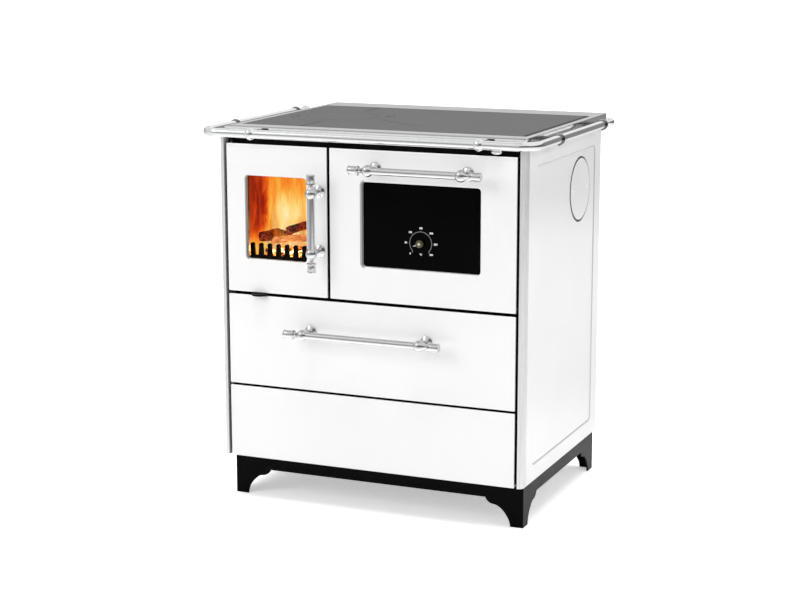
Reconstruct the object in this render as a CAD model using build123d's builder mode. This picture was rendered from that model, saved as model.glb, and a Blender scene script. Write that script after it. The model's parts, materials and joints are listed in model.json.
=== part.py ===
from build123d import *
import os
import math

# Wood-burning cookstove: white enamelled body on a black plinth, firebox door
# with a window on the left, drop-down oven door on the right, a full-width
# drawer and a fixed panel below, a cast hob in a polished frame, and a
# chromed guard rail round the front and both sides.
# Millimetres, +X right as seen from the front, +Y to the back, +Z up.
# Depths (d) are measured back from the front face of the doors.

os.makedirs("parts", exist_ok=True)

# ------------------------------------------------------------------ sizes
FRONT = -271.5          # y of the front face of the doors
HALF_W = 359.7          # outer half width of the side panels
BODY_D = 526.0          # depth of the side panels
SHEET = 1.5             # enamelled sheet
Z_BODY = 99.4           # underside of the body, top of the plinth
Z_CROWN = 832.0         # top of the body, underside of the hob frame
Z_TOP = 850.0           # hob surface

GAP_X = 340.65          # half width of the white front panels
DOOR_L = (-340.65, -96.6)
DOOR_R = (-89.9, 340.65)
DOOR_Z = (482.0, 813.2)
DRAWER_Z = (269.8, 475.1)
LOWER_Z = (99.4, 264.5)
PANEL_D = 18.0          # depth of the folded front panels
PLINTH_D = (37.0, 538.0)

FB_WIN = (-294.0, -146.0, 557.4, 743.9)     # firebox window x0 x1 z0 z1
OV_WIN = (-13.5, 260.5, 558.5, 743.9)       # oven window

FRAME_X = 350.0         # polished hob frame, outer half width
FRAME_D = (12.0, 598.0)
PLATE_X = 336.0         # hob plates
PLATE_D = (64.0, 513.0)
PLATE_T = 8.0
SEAM_X = -191.0         # joint between the two hob plates
LID_C = (-191.0, 293.0) # centre of the lift-out lid (x, d)
LID_R = 119.5

RAIL_R = 9.6            # guard rail tube radius
RAIL_Z = 839.0
RAIL_X = 387.0
RAIL_D = -28.0
RAIL_BEND = 40.0
BALL_R = 13.0

FRAME_PLATE = (24.0, 26.0)                  # black carcass front, d
FB_HINGE = (-331.65, 9.0)                   # firebox door axis (x, d)
OV_HINGE = (9.0, 491.0)                     # oven door axis (d, z)
DIAL_C = (120.2, 616.5)                     # thermometer centre (x, z)
DAMPER = (297.5, 823.5)                     # damper rod axis (x, z)
COLLAR = (225.0, 699.0)                     # rear flue outlet (x, z)
SIDE_FLUE = (379.0, 699.0)                  # side outlet cover (d, z)
FIELD = 2.2                                 # depth of the pressed field in the sides


# ---------------------------------------------------------------- helpers
def block(x0, x1, d0, d1, z0, z1, mode=Mode.ADD):
    """Upright rectangular block between two corners."""
    with BuildSketch(Plane.XY.offset(z0)) as s:
        with Locations(((x0 + x1) / 2, FRONT + (d0 + d1) / 2)):
            Rectangle(x1 - x0, d1 - d0)
    extrude(s.sketch, amount=z1 - z0, mode=mode)


def facing(d):
    """Plane parallel to the doors at depth d, seen from the front."""
    return Plane(origin=(0, FRONT + d, 0), x_dir=(1, 0, 0), z_dir=(0, -1, 0))


def slab(x0, x1, z0, z1, d0, d1, r=0.0, mode=Mode.ADD):
    """Plate parallel to the doors, corners rounded by r."""
    with BuildSketch(facing(d0)) as s:
        with Locations(((x0 + x1) / 2, (z0 + z1) / 2)):
            if r:
                RectangleRounded(x1 - x0, z1 - z0, r)
            else:
                Rectangle(x1 - x0, z1 - z0)
    extrude(s.sketch, amount=-(d1 - d0), mode=mode)


def disc(origin, axis, radius, length, mode=Mode.ADD):
    """Round bar from origin along axis."""
    with BuildSketch(Plane(origin=origin, z_dir=axis)) as s:
        Circle(radius)
    extrude(s.sketch, amount=length, mode=mode)


def turned(points, origin, axis, mode=Mode.ADD):
    """Solid of revolution; points are (radius, distance along the axis)."""
    a = Vector(*axis)
    ref = Vector(0, 0, 1) if abs(a.Z) < 0.9 else Vector(1, 0, 0)
    radial = a.cross(ref).normalized()
    with BuildSketch(Plane(origin=origin, x_dir=radial, z_dir=radial.cross(a))) as s:
        with BuildLine():
            Polyline(*points, close=True)
        make_face()
    revolve(s.sketch, axis=Axis(origin, axis), mode=mode)


def at(x, d, z):
    return (x, FRONT + d, z)


def save(part, name):
    part.label = name
    export_step(part, "parts/" + name + ".step")


def handle_bar(center, axis, half, ball):
    """Straight bar with a turned finial beyond each ball."""
    tip = half - ball
    prof = [(0, 0), (8, 0), (8, ball + 10.6), (7.4, ball + 11.6), (5.6, ball + 14.4),
            (4.7, ball + 16.6), (4.7, ball + 18.8), (6.2, ball + 20.0), (9.6, ball + 20.6),
            (10.6, ball + 21.6), (10.6, ball + 23.4), (9.4, ball + 24.6), (8.8, ball + 25.6)]
    for k in range(1, 6):
        t = k / 6
        prof.append((8.8 + 0.3 * (1 - (2 * t - 1) ** 2), ball + 25.6 + (tip - 29.4) * t))
    prof += [(8.8, ball + tip - 3.8), (9.7, ball + tip - 3.2), (9.7, ball + tip - 1.2),
             (8.6, ball + tip), (0, ball + tip)]
    turned(prof, center, axis)
    turned(prof, center, tuple(-v for v in axis))


def handle_mount(center, bar_axis, standoff):
    """Ball with a bore for the bar, a post and a round rosette on the panel."""
    turned([(0, 0), (5.5, 0), (5.5, standoff - 9.0), (7.0, standoff - 8.0), (8.2, standoff - 6.0),
            (12.6, standoff - 3.6), (14.0, standoff - 2.6), (14.0, standoff), (0, standoff)],
           center, (0, 1, 0))
    with Locations(center):
        Sphere(BALL_R)
    o = tuple(center[i] - 20 * bar_axis[i] for i in range(3))
    disc(o, bar_axis, 8.0, 40, Mode.SUBTRACT)


# ================================================================= plinth
def ogee(outer, inner, top, plane, thick, toe=29.5):
    """Board with a bracket foot at each end, drawn in its own plane."""
    e = toe - 29.5
    with BuildSketch(plane) as s:
        with BuildLine():
            l1 = Line((outer, 0), (outer, top))
            l2 = Line((outer, top), (inner, top))
            l3 = Line((inner, top), (inner, 0))
            a, b = inner + e, outer - e
            l4 = Line((inner, 0), (a + 29.5, 0))
            s1 = Spline((a + 29.5, 0), (a + 32.5, 14.0), (a + 43.0, 31.0), (a + 56.5, 43.0),
                        (a + 66.0, 46.6), tangents=((0.1, 1), (1, 0.2)))
            s2 = Spline((a + 66.0, 46.6), (a + 78.0, 49.6), (a + 84.5, 55.5), (a + 87.5, 61.0),
                        tangents=((1, 0.08), (0.3, 1)))
            l5 = Line((a + 87.5, 61.0), (b - 87.5, 61.0))
            s3 = Spline((b - 87.5, 61.0), (b - 84.5, 55.5), (b - 78.0, 49.6), (b - 66.0, 46.6),
                        tangents=((0.3, -1), (1, -0.08)))
            s4 = Spline((b - 66.0, 46.6), (b - 56.5, 43.0), (b - 43.0, 31.0), (b - 32.5, 14.0),
                        (b - 29.5, 0), tangents=((1, -0.2), (0.1, -1)))
            l6 = Line((b - 29.5, 0), (outer, 0))
        make_face()
    extrude(s.sketch, amount=thick)


with BuildPart() as plinth_front:
    ogee(349.5, -349.5, Z_BODY, facing(PLINTH_D[0] + 4.0), 4.0)
save(plinth_front.part, "plinth_front")

with BuildPart() as plinth_back:
    ogee(349.5, -349.5, Z_BODY, facing(PLINTH_D[1]), 4.0)
save(plinth_back.part, "plinth_back")


def side_board(x):
    """Side board; its feet run on round the corners from the end boards."""
    pl = Plane(origin=(x, 0, 0), x_dir=(0, 1, 0), z_dir=(1, 0, 0))
    ogee(FRONT + PLINTH_D[1], FRONT + PLINTH_D[0], Z_BODY, pl, 4.0, toe=31.5)
    block(-400, 400, PLINTH_D[0] - 5, PLINTH_D[0] + 4, -1, 110, Mode.SUBTRACT)
    block(-400, 400, PLINTH_D[1] - 4, PLINTH_D[1] + 5, -1, 110, Mode.SUBTRACT)


with BuildPart() as plinth_right:
    side_board(345.5)
save(plinth_right.part, "plinth_right")

with BuildPart() as plinth_left:
    side_board(-349.5)
save(plinth_left.part, "plinth_left")

with BuildPart() as plinth_corner_angles:
    for sx in (-1, 1):
        for d0, s in ((PLINTH_D[0] + 4, 1), (PLINTH_D[1] - 4, -1)):
            xa, xb = sorted((sx * 345.5, sx * 315.5))
            da, db = sorted((d0, d0 + s * 3))
            block(xa, xb, da, db, 66, 96)
            xa, xb = sorted((sx * 345.5, sx * 342.5))
            da, db = sorted((d0, d0 + s * 30))
            block(xa, xb, da, db, 66, 96)
save(plinth_corner_angles.part, "plinth_corner_angles")

# =================================================================== body
with BuildPart() as base_plate:
    block(-358.2, 358.2, 24.0, BODY_D, Z_BODY, Z_BODY + 2.0)
save(base_plate.part, "base_plate")


def side_panel(sx):
    """Folded side with a raised border round a shallow pressed field."""
    x_in, x_out = HALF_W - SHEET, HALF_W

    def sb(x0, x1, *rest, mode=Mode.ADD):
        a, b = sorted((sx * x0, sx * x1))
        block(a, b, *rest, mode)
    sb(x_in, x_out, 24.0, BODY_D, Z_BODY, Z_CROWN)
    sb(338.0, x_in, 26.0, BODY_D, Z_CROWN - SHEET, Z_CROWN)
    sb(344.0, x_in, BODY_D - SHEET, BODY_D, Z_BODY + 2.0, Z_CROWN - SHEET)
    # pressed field: the form added inside first, then cut from outside, one sheet thick
    for depth, base, mode in ((FIELD, x_in, Mode.ADD), (FIELD, x_out, Mode.SUBTRACT)):
        outer = Plane(origin=(sx * base, 0, 0), x_dir=(0, sx, 0), z_dir=(sx, 0, 0))
        with BuildSketch(outer) as s0:
            with Locations((sx * (FRONT + 273.5), 461.5)):
                RectangleRounded(421.0, 655.0, 15.0)
        with BuildSketch(outer.offset(-depth)) as s1:
            with Locations((sx * (FRONT + 273.5), 461.5)):
                RectangleRounded(414.0, 648.0, 11.5)
        loft([s0.sketch.faces()[0], s1.sketch.faces()[0]], mode=mode)
    # round outlet hole behind the side flue cover
    if sx > 0:
        disc((340, FRONT + SIDE_FLUE[0], SIDE_FLUE[1]), (1, 0, 0), 73.0, 30, Mode.SUBTRACT)


with BuildPart() as side_panel_right:
    side_panel(1)
save(side_panel_right.part, "side_panel_right")

with BuildPart() as side_panel_left:
    side_panel(-1)
save(side_panel_left.part, "side_panel_left")

# rounded grey corner profiles each side of the front
with BuildPart() as corner_trims:
    for sx in (-1, 1):
        with BuildSketch(Plane.XY.offset(Z_BODY)) as prof:
            with BuildLine():
                Line((sx * 347.4, FRONT + 24.0), (sx * 347.4, FRONT))
                Line((sx * 347.4, FRONT), (sx * 348.7, FRONT))
                RadiusArc((sx * 348.7, FRONT), (sx * HALF_W, FRONT + 11.0), -sx * 11.0)
                Line((sx * HALF_W, FRONT + 11.0), (sx * HALF_W, FRONT + 24.0))
                Line((sx * HALF_W, FRONT + 24.0), (sx * (HALF_W - 1.5), FRONT + 24.0))
                Line((sx * (HALF_W - 1.5), FRONT + 24.0), (sx * (HALF_W - 1.5), FRONT + 11.0))
                RadiusArc((sx * (HALF_W - 1.5), FRONT + 11.0), (sx * 348.9, FRONT + 1.6), sx * 9.6)
                Line((sx * 348.9, FRONT + 1.6), (sx * 348.9, FRONT + 24.0))
                Line((sx * 348.9, FRONT + 24.0), (sx * 347.4, FRONT + 24.0))
            make_face()
        extrude(prof.sketch, amount=Z_CROWN - Z_BODY)
save(corner_trims.part, "corner_trims")

with BuildPart() as flue_cover:
    # pressed cover, flush in its hole
    xc = HALF_W - SHEET - FIELD
    turned([(0, 0), (71.1, 0), (71.1, 0.9), (70.5, 1.5), (0, 1.5)],
           (xc, FRONT + SIDE_FLUE[0], SIDE_FLUE[1]), (1, 0, 0))
    # two spring strips that reach across the seam and bear behind the panel, each on a rivet
    for dd in (-1, 1):
        block(xc - 1.2, xc, SIDE_FLUE[0] + dd * 64.0 - 22, SIDE_FLUE[0] + dd * 64.0 + 22, 692, 706)
        turned([(0, 0), (4.4, 0), (4.0, 0.7), (2.6, 1.3), (0, 1.5)],
               (xc + SHEET, FRONT + SIDE_FLUE[0] + dd * 48.0, SIDE_FLUE[1]), (1, 0, 0))
save(flue_cover.part, "flue_cover")

with BuildPart() as back_panel:
    slab(-353.0, 353.0, Z_BODY + 1.0, Z_CROWN - 2.0, BODY_D, BODY_D + SHEET)
    slab(COLLAR[0] - 56, COLLAR[0] + 56, COLLAR[1] - 56, COLLAR[1] + 56, BODY_D - 1, BODY_D + 3, 55.9, Mode.SUBTRACT)
    # pressed stiffening ribs
    for zc in (200, 330, 460):
        slab(-290, 290, zc - 9, zc + 9, BODY_D + SHEET, BODY_D + SHEET + 2.0, 8.9)
save(back_panel.part, "back_panel")

with BuildPart() as back_panel_screws:
    for x in (-348.5, 348.5):
        for z in (130, 300, 465, 635, 800):
            turned([(0, 0), (3.6, 0), (3.6, 0.8), (2.6, 2.0), (0, 2.4)],
                   at(x, BODY_D + SHEET, z), (0, 1, 0))
    for x in (-170, 0, 170):
        for z in (112, 818):
            turned([(0, 0), (3.6, 0), (3.6, 0.8), (2.6, 2.0), (0, 2.4)],
                   at(x, BODY_D + SHEET, z), (0, 1, 0))
    for dx, dz in ((-62, -62), (62, -62), (-62, 62), (62, 62)):
        turned([(0, 0), (4.0, 0), (4.0, 0.9), (3.0, 2.2), (0, 2.6)],
               at(COLLAR[0] + dx, BODY_D + SHEET + 2.0, COLLAR[1] + dz), (0, 1, 0))
save(back_panel_screws.part, "back_panel_screws")

with BuildPart() as flue_collar:
    slab(COLLAR[0] - 74, COLLAR[0] + 74, COLLAR[1] - 74, COLLAR[1] + 74, BODY_D + SHEET, BODY_D + SHEET + 2.0, 12)
    disc(at(COLLAR[0], BODY_D + SHEET, COLLAR[1]), (0, 1, 0), 60.0, 68.5)
    disc(at(COLLAR[0], BODY_D + SHEET - 1, COLLAR[1]), (0, 1, 0), 57.0, 72, Mode.SUBTRACT)
save(flue_collar.part, "flue_collar")

# black carcass front the doors close against
with BuildPart() as front_frame:
    slab(-358.2, 358.2, Z_BODY + 2.0, Z_CROWN - SHEET, *FRAME_PLATE)
    slab(-312.0, -128.0, 491.0, 797.0, 20, 30, 4, Mode.SUBTRACT)
    slab(-66.5, 310.5, 506.5, 790.5, 20, 30, 4, Mode.SUBTRACT)
    slab(-329.0, 329.0, 286.0, 464.0, 20, 30, 4, Mode.SUBTRACT)
    slab(-274.0, -220.0, 476.2, 481.8, 20, 30, 1, Mode.SUBTRACT)
    disc(at(DAMPER[0], 20, DAMPER[1]), (0, 1, 0), 4.05, 10, Mode.SUBTRACT)
    block(-334.5, -108.0, 24.0, 40.0, Z_CROWN - SHEET, Z_CROWN)
    block(-103.0, 337.5, 24.0, 40.0, Z_CROWN - SHEET, Z_CROWN)
save(front_frame.part, "front_frame")

# =================================================================== hob
with BuildPart() as top_frame:
    # top flange
    block(-FRAME_X, FRAME_X, *FRAME_D, 847.0, Z_TOP)
    block(-PLATE_X - 1, PLATE_X + 1, PLATE_D[0] - 1, PLATE_D[1] + 1, 840, 852, Mode.SUBTRACT)
    # outer wall
    block(-FRAME_X, FRAME_X, *FRAME_D, Z_CROWN, 847.0)
    block(-FRAME_X + 3, FRAME_X - 3, FRAME_D[0] + 3, FRAME_D[1] - 3, 830, 847.0, Mode.SUBTRACT)
    # inner wall down to the ledge that carries the plates
    block(-PLATE_X - 4, PLATE_X + 4, PLATE_D[0] - 4, PLATE_D[1] + 4, 839.0, 847.0)
    block(-PLATE_X - 1, PLATE_X + 1, PLATE_D[0] - 1, PLATE_D[1] + 1, 842.0, 848.0, Mode.SUBTRACT)
    block(-PLATE_X + 7, PLATE_X - 7, PLATE_D[0] + 7, PLATE_D[1] - 7, 838.0, 848.0, Mode.SUBTRACT)
    # inturned foot resting on the body
    for c in ((-FRAME_X, FRAME_X, FRAME_D[0], 25.9), (-FRAME_X, FRAME_X, 578.0, FRAME_D[1]),
              (-FRAME_X, -339.0, 25.9, 578.0), (339.0, FRAME_X, 25.9, 578.0)):
        block(*c, Z_CROWN, Z_CROWN + 2.0)
    outer = top_frame.edges().filter_by(GeomType.LINE).group_by(Axis.Z)[-1]
    rim = [e for e in outer if abs(abs(e.center().X) - FRAME_X) < 0.1
           or abs(e.center().Y - (FRONT + FRAME_D[0])) < 0.1 or abs(e.center().Y - (FRONT + FRAME_D[1])) < 0.1]
    fillet(rim, 2.0)
    lip = [e for e in top_frame.edges().filter_by(GeomType.LINE).group_by(Axis.Z)[-1]
           if abs(abs(e.center().X) - (PLATE_X + 1)) < 0.1
           or abs(e.center().Y - (FRONT + PLATE_D[0] - 1)) < 0.1 or abs(e.center().Y - (FRONT + PLATE_D[1] + 1)) < 0.1]
    fillet(lip, 0.8)
save(top_frame.part, "top_frame")


def hob_half(x0, x1):
    block(x0, x1, *PLATE_D, Z_TOP - PLATE_T, Z_TOP)
    disc((LID_C[0], FRONT + LID_C[1], Z_TOP - 5.0), (0, 0, 1), LID_R + 0.7, 10, Mode.SUBTRACT)
    disc((LID_C[0], FRONT + LID_C[1], Z_TOP - 12.0), (0, 0, 1), LID_R - 7.5, 14, Mode.SUBTRACT)


with BuildPart() as hob_plate_left:
    hob_half(1.8 - PLATE_X, SEAM_X - 0.5)
    fillet(hob_plate_left.edges().filter_by(Axis.Z).group_by(Axis.X)[0], 3.0)
save(hob_plate_left.part, "hob_plate_left")

with BuildPart() as hob_plate_right:
    hob_half(SEAM_X + 0.5, PLATE_X - 1.8)
    fillet(hob_plate_right.edges().filter_by(Axis.Z).group_by(Axis.X)[-1], 3.0)
    # shallow curved expansion groove running out from the lid
    mid = [(-76.0 + 126.0 * t, 252.0 - 82.0 * t + 16.0 * t * (t - 1)) for t in [k / 16 for k in range(17)]]
    rows = []
    for w in (1.1, -1.1):
        row = []
        for k, (x, d) in enumerate(mid):
            xa, da = mid[max(k - 1, 0)]
            xb, db = mid[min(k + 1, 16)]
            n = math.hypot(xb - xa, db - da)
            row.append((x - w * (db - da) / n, FRONT + d + w * (xb - xa) / n))
        rows.append(row)
    with BuildSketch(Plane.XY.offset(Z_TOP - 1.6)) as groove:
        with BuildLine():
            Polyline(*(rows[0] + rows[1][::-1]), close=True)
        make_face()
    extrude(groove.sketch, amount=4, mode=Mode.SUBTRACT)
save(hob_plate_right.part, "hob_plate_right")

with BuildPart() as hob_lid:
    disc((LID_C[0], FRONT + LID_C[1], Z_TOP - 4.7), (0, 0, 1), LID_R, 4.7)
    disc((LID_C[0], FRONT + LID_C[1], Z_TOP - 8.0), (0, 0, 1), LID_R - 8.5, 3.3)
    for dx, dd in ((98.0, 36.0), (-98.0, -36.0)):
        disc((LID_C[0] + dx, FRONT + LID_C[1] + dd, Z_TOP - 5.5), (0, 0, 1), 5.0, 6, Mode.SUBTRACT)
    # concentric turned ring line
    turned([(82.0, -0.6), (83.4, -0.6), (83.4, 1.0), (82.0, 1.0)],
           (LID_C[0], FRONT + LID_C[1], Z_TOP), (0, 0, 1), Mode.SUBTRACT)
save(hob_lid.part, "hob_lid")

# ============================================================= guard rail
xs = RAIL_X - RAIL_BEND
dc = RAIL_D + RAIL_BEND
with BuildPart() as rail_tubes:
    disc(at(-xs, RAIL_D, RAIL_Z), (1, 0, 0), RAIL_R, 2 * xs)
    for sx in (-1, 1):
        disc(at(sx * RAIL_X, dc, RAIL_Z), (0, 1, 0), RAIL_R, 456.0 - dc)
        # turned neck and ball at the back end
        turned([(0, -1.0), (RAIL_R, -1.0), (RAIL_R, 2.0), (7.0, 4.0), (4.6, 7.5), (4.2, 12), (4.2, 24), (5.2, 28),
                (7.4, 30), (7.4, 32), (5.0, 34.0), (0, 34.0)], at(sx * RAIL_X, 456.0, RAIL_Z), (0, 1, 0))
        with Locations(at(sx * RAIL_X, 456.0 + 43.5, RAIL_Z)):
            Sphere(11.0)
save(rail_tubes.part, "rail_tubes")

with BuildPart() as rail_bends:
    for sx in (-1, 1):
        with BuildSketch(Plane(origin=at(sx * xs, RAIL_D, RAIL_Z), z_dir=(sx, 0, 0))) as ring:
            Circle(RAIL_R)
        revolve(ring.sketch, axis=Axis(at(sx * xs, dc, RAIL_Z), (0, 0, sx)), revolution_arc=90)
save(rail_bends.part, "rail_bends")

with BuildPart() as rail_brackets:
    spots = [((x, RAIL_D), (0, 1, 0), (1, 0, 0), 40.0) for x in (-266.0, 266.0)]
    spots += [((sx * RAIL_X, d), (-sx, 0, 0), (0, 1, 0), RAIL_X - FRAME_X)
              for sx in (-1, 1) for d in (133.0, 444.0)]
    for (x, d), inward, along, reach in spots:
        c = at(x, d, RAIL_Z)
        turned([(0, 0), (5.2, 0), (5.2, reach - 8.0), (5.6, reach - 6.5), (5.9, reach - 3.0),
                (6.5, reach - 2.2), (6.5, reach), (0, reach)], c, inward)
        with Locations(c):
            Sphere(BALL_R)
        o = tuple(c[i] - 20 * along[i] for i in range(3))
        disc(o, along, RAIL_R, 40, Mode.SUBTRACT)
        # set-screw in the outer side of the ball
        turned([(0, 12.0), (2.4, 12.0), (2.4, 13.3), (1.6, 13.8), (0, 13.8)], c, (0, 0, -1))
save(rail_brackets.part, "rail_brackets")

# ============================================================ firebox
FB_IN = (-335.0, -107.0, 20.0, 467.0)
with BuildPart() as firebox_shell:
    block(-338.0, -104.0, 26.0, 470.0, 488.0, 838.0)
    block(*FB_IN, 491.0, 840.0, Mode.SUBTRACT)
    block(-108.0, -103.0, 45.0, 460.0, 800.0, 840.0, Mode.SUBTRACT)
    # ledges under the grate
    block(-335.0, -323.0, 32.0, 467.0, 521.0, 529.0)
    block(-119.0, -107.0, 32.0, 467.0, 521.0, 529.0)
    # primary air holes in the floor
    with Locations(*[(x, FRONT + d, 491.0) for x in (-300, -240, -180) for d in (80, 120)]):
        Hole(9.0)
    # guides that carry the air shutter
    for x0, x1, d0, d1, e0, e1 in ((-330, -282, 54.0, 56.5, 56.5, 62.0), (-214, -140, 54.0, 56.5, 56.5, 62.0),
                                   (-330, -140, 143.5, 146.0, 138.0, 143.5)):
        block(x0, x1, d0, d1, 482.5, 488.0)
        block(x0, x1, e0, e1, 482.5, 484.6)
save(firebox_shell.part, "firebox_shell")

with BuildPart() as firebricks:
    # left and right walls: three bricks long, two high; back wall: two by two
    for x0, x1, top in ((-335.0, -310.0, 801.0), (-132.0, -107.0, 799.0)):
        for k in range(3):
            d0 = 44.0 + k * 132.4
            for z0, z1 in ((541.0, 671.0), (671.4, top)):
                block(x0, x1, d0, d0 + 132.0, z0, z1)
    for x0, x1 in ((-335.0, -221.2), (-220.8, -107.0)):
        for z0, z1 in ((541.0, 671.0), (671.4, 801.0)):
            block(x0, x1, 442.0, 467.0, z0, z1)
save(firebricks.part, "firebricks")

with BuildPart() as grate_frame:
    block(-334.0, -108.0, 30.0, 466.0, 529.0, 541.0)
    for d0, d1 in ((60.0, 225.0), (245.0, 410.0)):
        block(-300.0, -135.0, d0, d1, 520, 545, Mode.SUBTRACT)
save(grate_frame.part, "grate_frame")

with BuildPart() as grate_bars:
    for k in range(8):
        for d0, d1 in ((60.0, 225.0), (245.0, 410.0)):
            with BuildSketch(facing(d0)) as bar:
                with BuildLine():
                    xk = -291.0 + k * 19.5
                    Polyline((xk + 2.0, 529.0), (xk + 8.5, 529.0), (xk + 10.5, 541.0), (xk, 541.0), close=True)
                make_face()
            extrude(bar.sketch, amount=d0 - d1)
save(grate_bars.part, "grate_bars")

with BuildPart() as log_fence:
    slab(-334.0, -108.0, 541.0, 554.5, 33.0, 39.0)
    for k in range(9):
        xk = -297.2 + 21.4 * k
        with BuildSketch(facing(33.0)) as tooth:
            with BuildLine():
                Line((xk - 7.2, 552.0), (xk + 7.2, 552.0))
                Line((xk + 7.2, 552.0), (xk + 6.2, 560.0))
                Line((xk + 6.2, 560.0), (xk + 4.4, 581.5))
                ThreePointArc((xk + 4.4, 581.5), (xk, 588.0), (xk - 4.4, 581.5))
                Line((xk - 4.4, 581.5), (xk - 6.2, 560.0))
                Line((xk - 6.2, 560.0), (xk - 7.2, 552.0))
            make_face()
        extrude(tooth.sketch, amount=-6.0)
save(log_fence.part, "log_fence")

with BuildPart() as ash_pan:
    block(-309.0, -131.0, 40.0, 432.0, 491.0, 524.0)
    block(-307.8, -132.2, 41.2, 430.8, 492.2, 530.0, Mode.SUBTRACT)
    slab(-250.0, -190.0, 505.0, 512.0, 31.0, 33.0, 2)
    slab(-250.0, -244.0, 505.0, 512.0, 33.0, 40.0)
    slab(-196.0, -190.0, 505.0, 512.0, 33.0, 40.0)
save(ash_pan.part, "ash_pan")

# primary air shutter with its finger tab under the firebox door
with BuildPart() as air_shutter:
    block(-322.0, -158.0, 57.0, 143.0, 485.2, 487.6)
    with Locations(*[(x, FRONT + d, 487.6) for x in (-300, -240, -180) for d in (80, 120)]):
        Hole(9.0)
    # joggled arm out through the slot in the carcass front
    block(-270.0, -254.0, 3.0, 60.0, 476.9, 479.7)
    block(-270.0, -254.0, 57.2, 60.0, 479.7, 485.2)
save(air_shutter.part, "air_shutter")

with BuildPart() as air_lever_tab:
    with BuildSketch(Plane.XY.offset(476.5)) as tab:
        with BuildLine():
            Line((-281.0, FRONT - 1.0), (-281.0, FRONT + 3.0))
            Line((-281.0, FRONT + 3.0), (-243.0, FRONT + 3.0))
            Line((-243.0, FRONT + 3.0), (-243.0, FRONT - 1.0))
            ThreePointArc((-243.0, FRONT - 1.0), (-262.0, FRONT - 20.0), (-281.0, FRONT - 1.0))
        make_face()
    extrude(tab.sketch, amount=3.8)
    fillet(air_lever_tab.edges().group_by(Axis.Z)[-1].filter_by(lambda e: e.center().Y < FRONT + 2), 1.2)
    fillet(air_lever_tab.edges().group_by(Axis.Z)[0].filter_by(lambda e: e.center().Y < FRONT + 2), 1.2)
save(air_lever_tab.part, "air_lever_tab")

# =============================================================== oven
with BuildPart() as oven_liner:
    block(-68.0, 312.0, 26.0, 452.0, 505.0, 792.0)
    block(-66.5, 310.5, 24.0, 450.5, 506.5, 790.5, Mode.SUBTRACT)
    # pressed ledges that carry the rack and the tray
    for z in (566.0, 650.0, 720.0):
        block(-66.5, -57.5, 40.0, 440.0, z, z + 3.0)
        block(301.5, 310.5, 40.0, 440.0, z, z + 3.0)
save(oven_liner.part, "oven_liner")

with BuildPart() as oven_rack:
    zr = 656.0
    # bent wire frame with rounded corners
    xa, xb, da, db, rc = -61.0, 305.0, 48.0, 432.0, 16.0
    for x in (xa, xb):
        disc(at(x, da + rc, zr), (0, 1, 0), 3.0, db - da - 2 * rc)
    for d in (da, db):
        disc(at(xa + rc, d, zr), (1, 0, 0), 3.0, xb - xa - 2 * rc)
    for x, d, sx, sd in ((xa, da, -1, -1), (xb, da, 1, -1), (xa, db, -1, 1), (xb, db, 1, 1)):
        with BuildSketch(Plane(origin=at(x - sx * rc, d, zr), z_dir=(1, 0, 0))) as ring:
            Circle(3.0)
        revolve(ring.sketch, axis=Axis(at(x - sx * rc, d - sd * rc, zr), (0, 0, -sx * sd)), revolution_arc=90)
    # bars welded across the frame, and one stay under them
    for k in range(17):
        disc(at(xa + 20.0 + (xb - xa - 40.0) * k / 16, da - 1.0, zr + 1.2), (0, 1, 0), 1.6, db - da + 2.0)
    disc(at(xa + 14.0, 241.0, zr - 1.2), (1, 0, 0), 1.8, xb - xa - 28.0)
save(oven_rack.part, "oven_rack")

with BuildPart() as baking_tray:
    with BuildSketch(Plane.XY.offset(545.0)) as b0:
        with Locations((122.0, FRONT + 240.0)):
            RectangleRounded(330.0, 360.0, 14.0)
    extrude(b0.sketch, amount=24.0, taper=-8)
    block(-64.0, 308.0, 50.0, 430.0, 569.0, 570.2)
    with BuildSketch(Plane.XY.offset(546.2)) as b1:
        with Locations((122.0, FRONT + 240.0)):
            RectangleRounded(327.8, 357.8, 13.0)
    extrude(b1.sketch, amount=26.0, taper=-8, mode=Mode.SUBTRACT)
save(baking_tray.part, "baking_tray")

# smoke box between the oven back and the rear outlet
with BuildPart() as flue_box:
    block(140.0, 310.0, 456.0, BODY_D, 610.0, 811.0)
    block(142.0, 308.0, 458.0, BODY_D + 1, 608.0, 813.0, Mode.SUBTRACT)
save(flue_box.part, "flue_box")

with BuildPart() as damper_plate:
    block(146.0, 306.0, 452.0, 520.0, 812.0, 814.0)
    block(288.0, 306.0, 452.0, 454.5, 814.0, 829.0)
save(damper_plate.part, "damper_plate")

with BuildPart() as damper_rod:
    disc(at(DAMPER[0], -8.0, DAMPER[1]), (0, 1, 0), 4.0, 460.0)
    # olive shaped cross grip, low enough to pass under the guard rail
    turned([(0, 0)] + [(5.5 * math.sin(math.pi * k / 16), 12.0 - 12.0 * math.cos(math.pi * k / 16)) for k in range(1, 16)]
           + [(0, 24.0)], at(DAMPER[0] - 12.0, -8.0, DAMPER[1]), (1, 0, 0))
save(damper_rod.part, "damper_rod")


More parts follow.
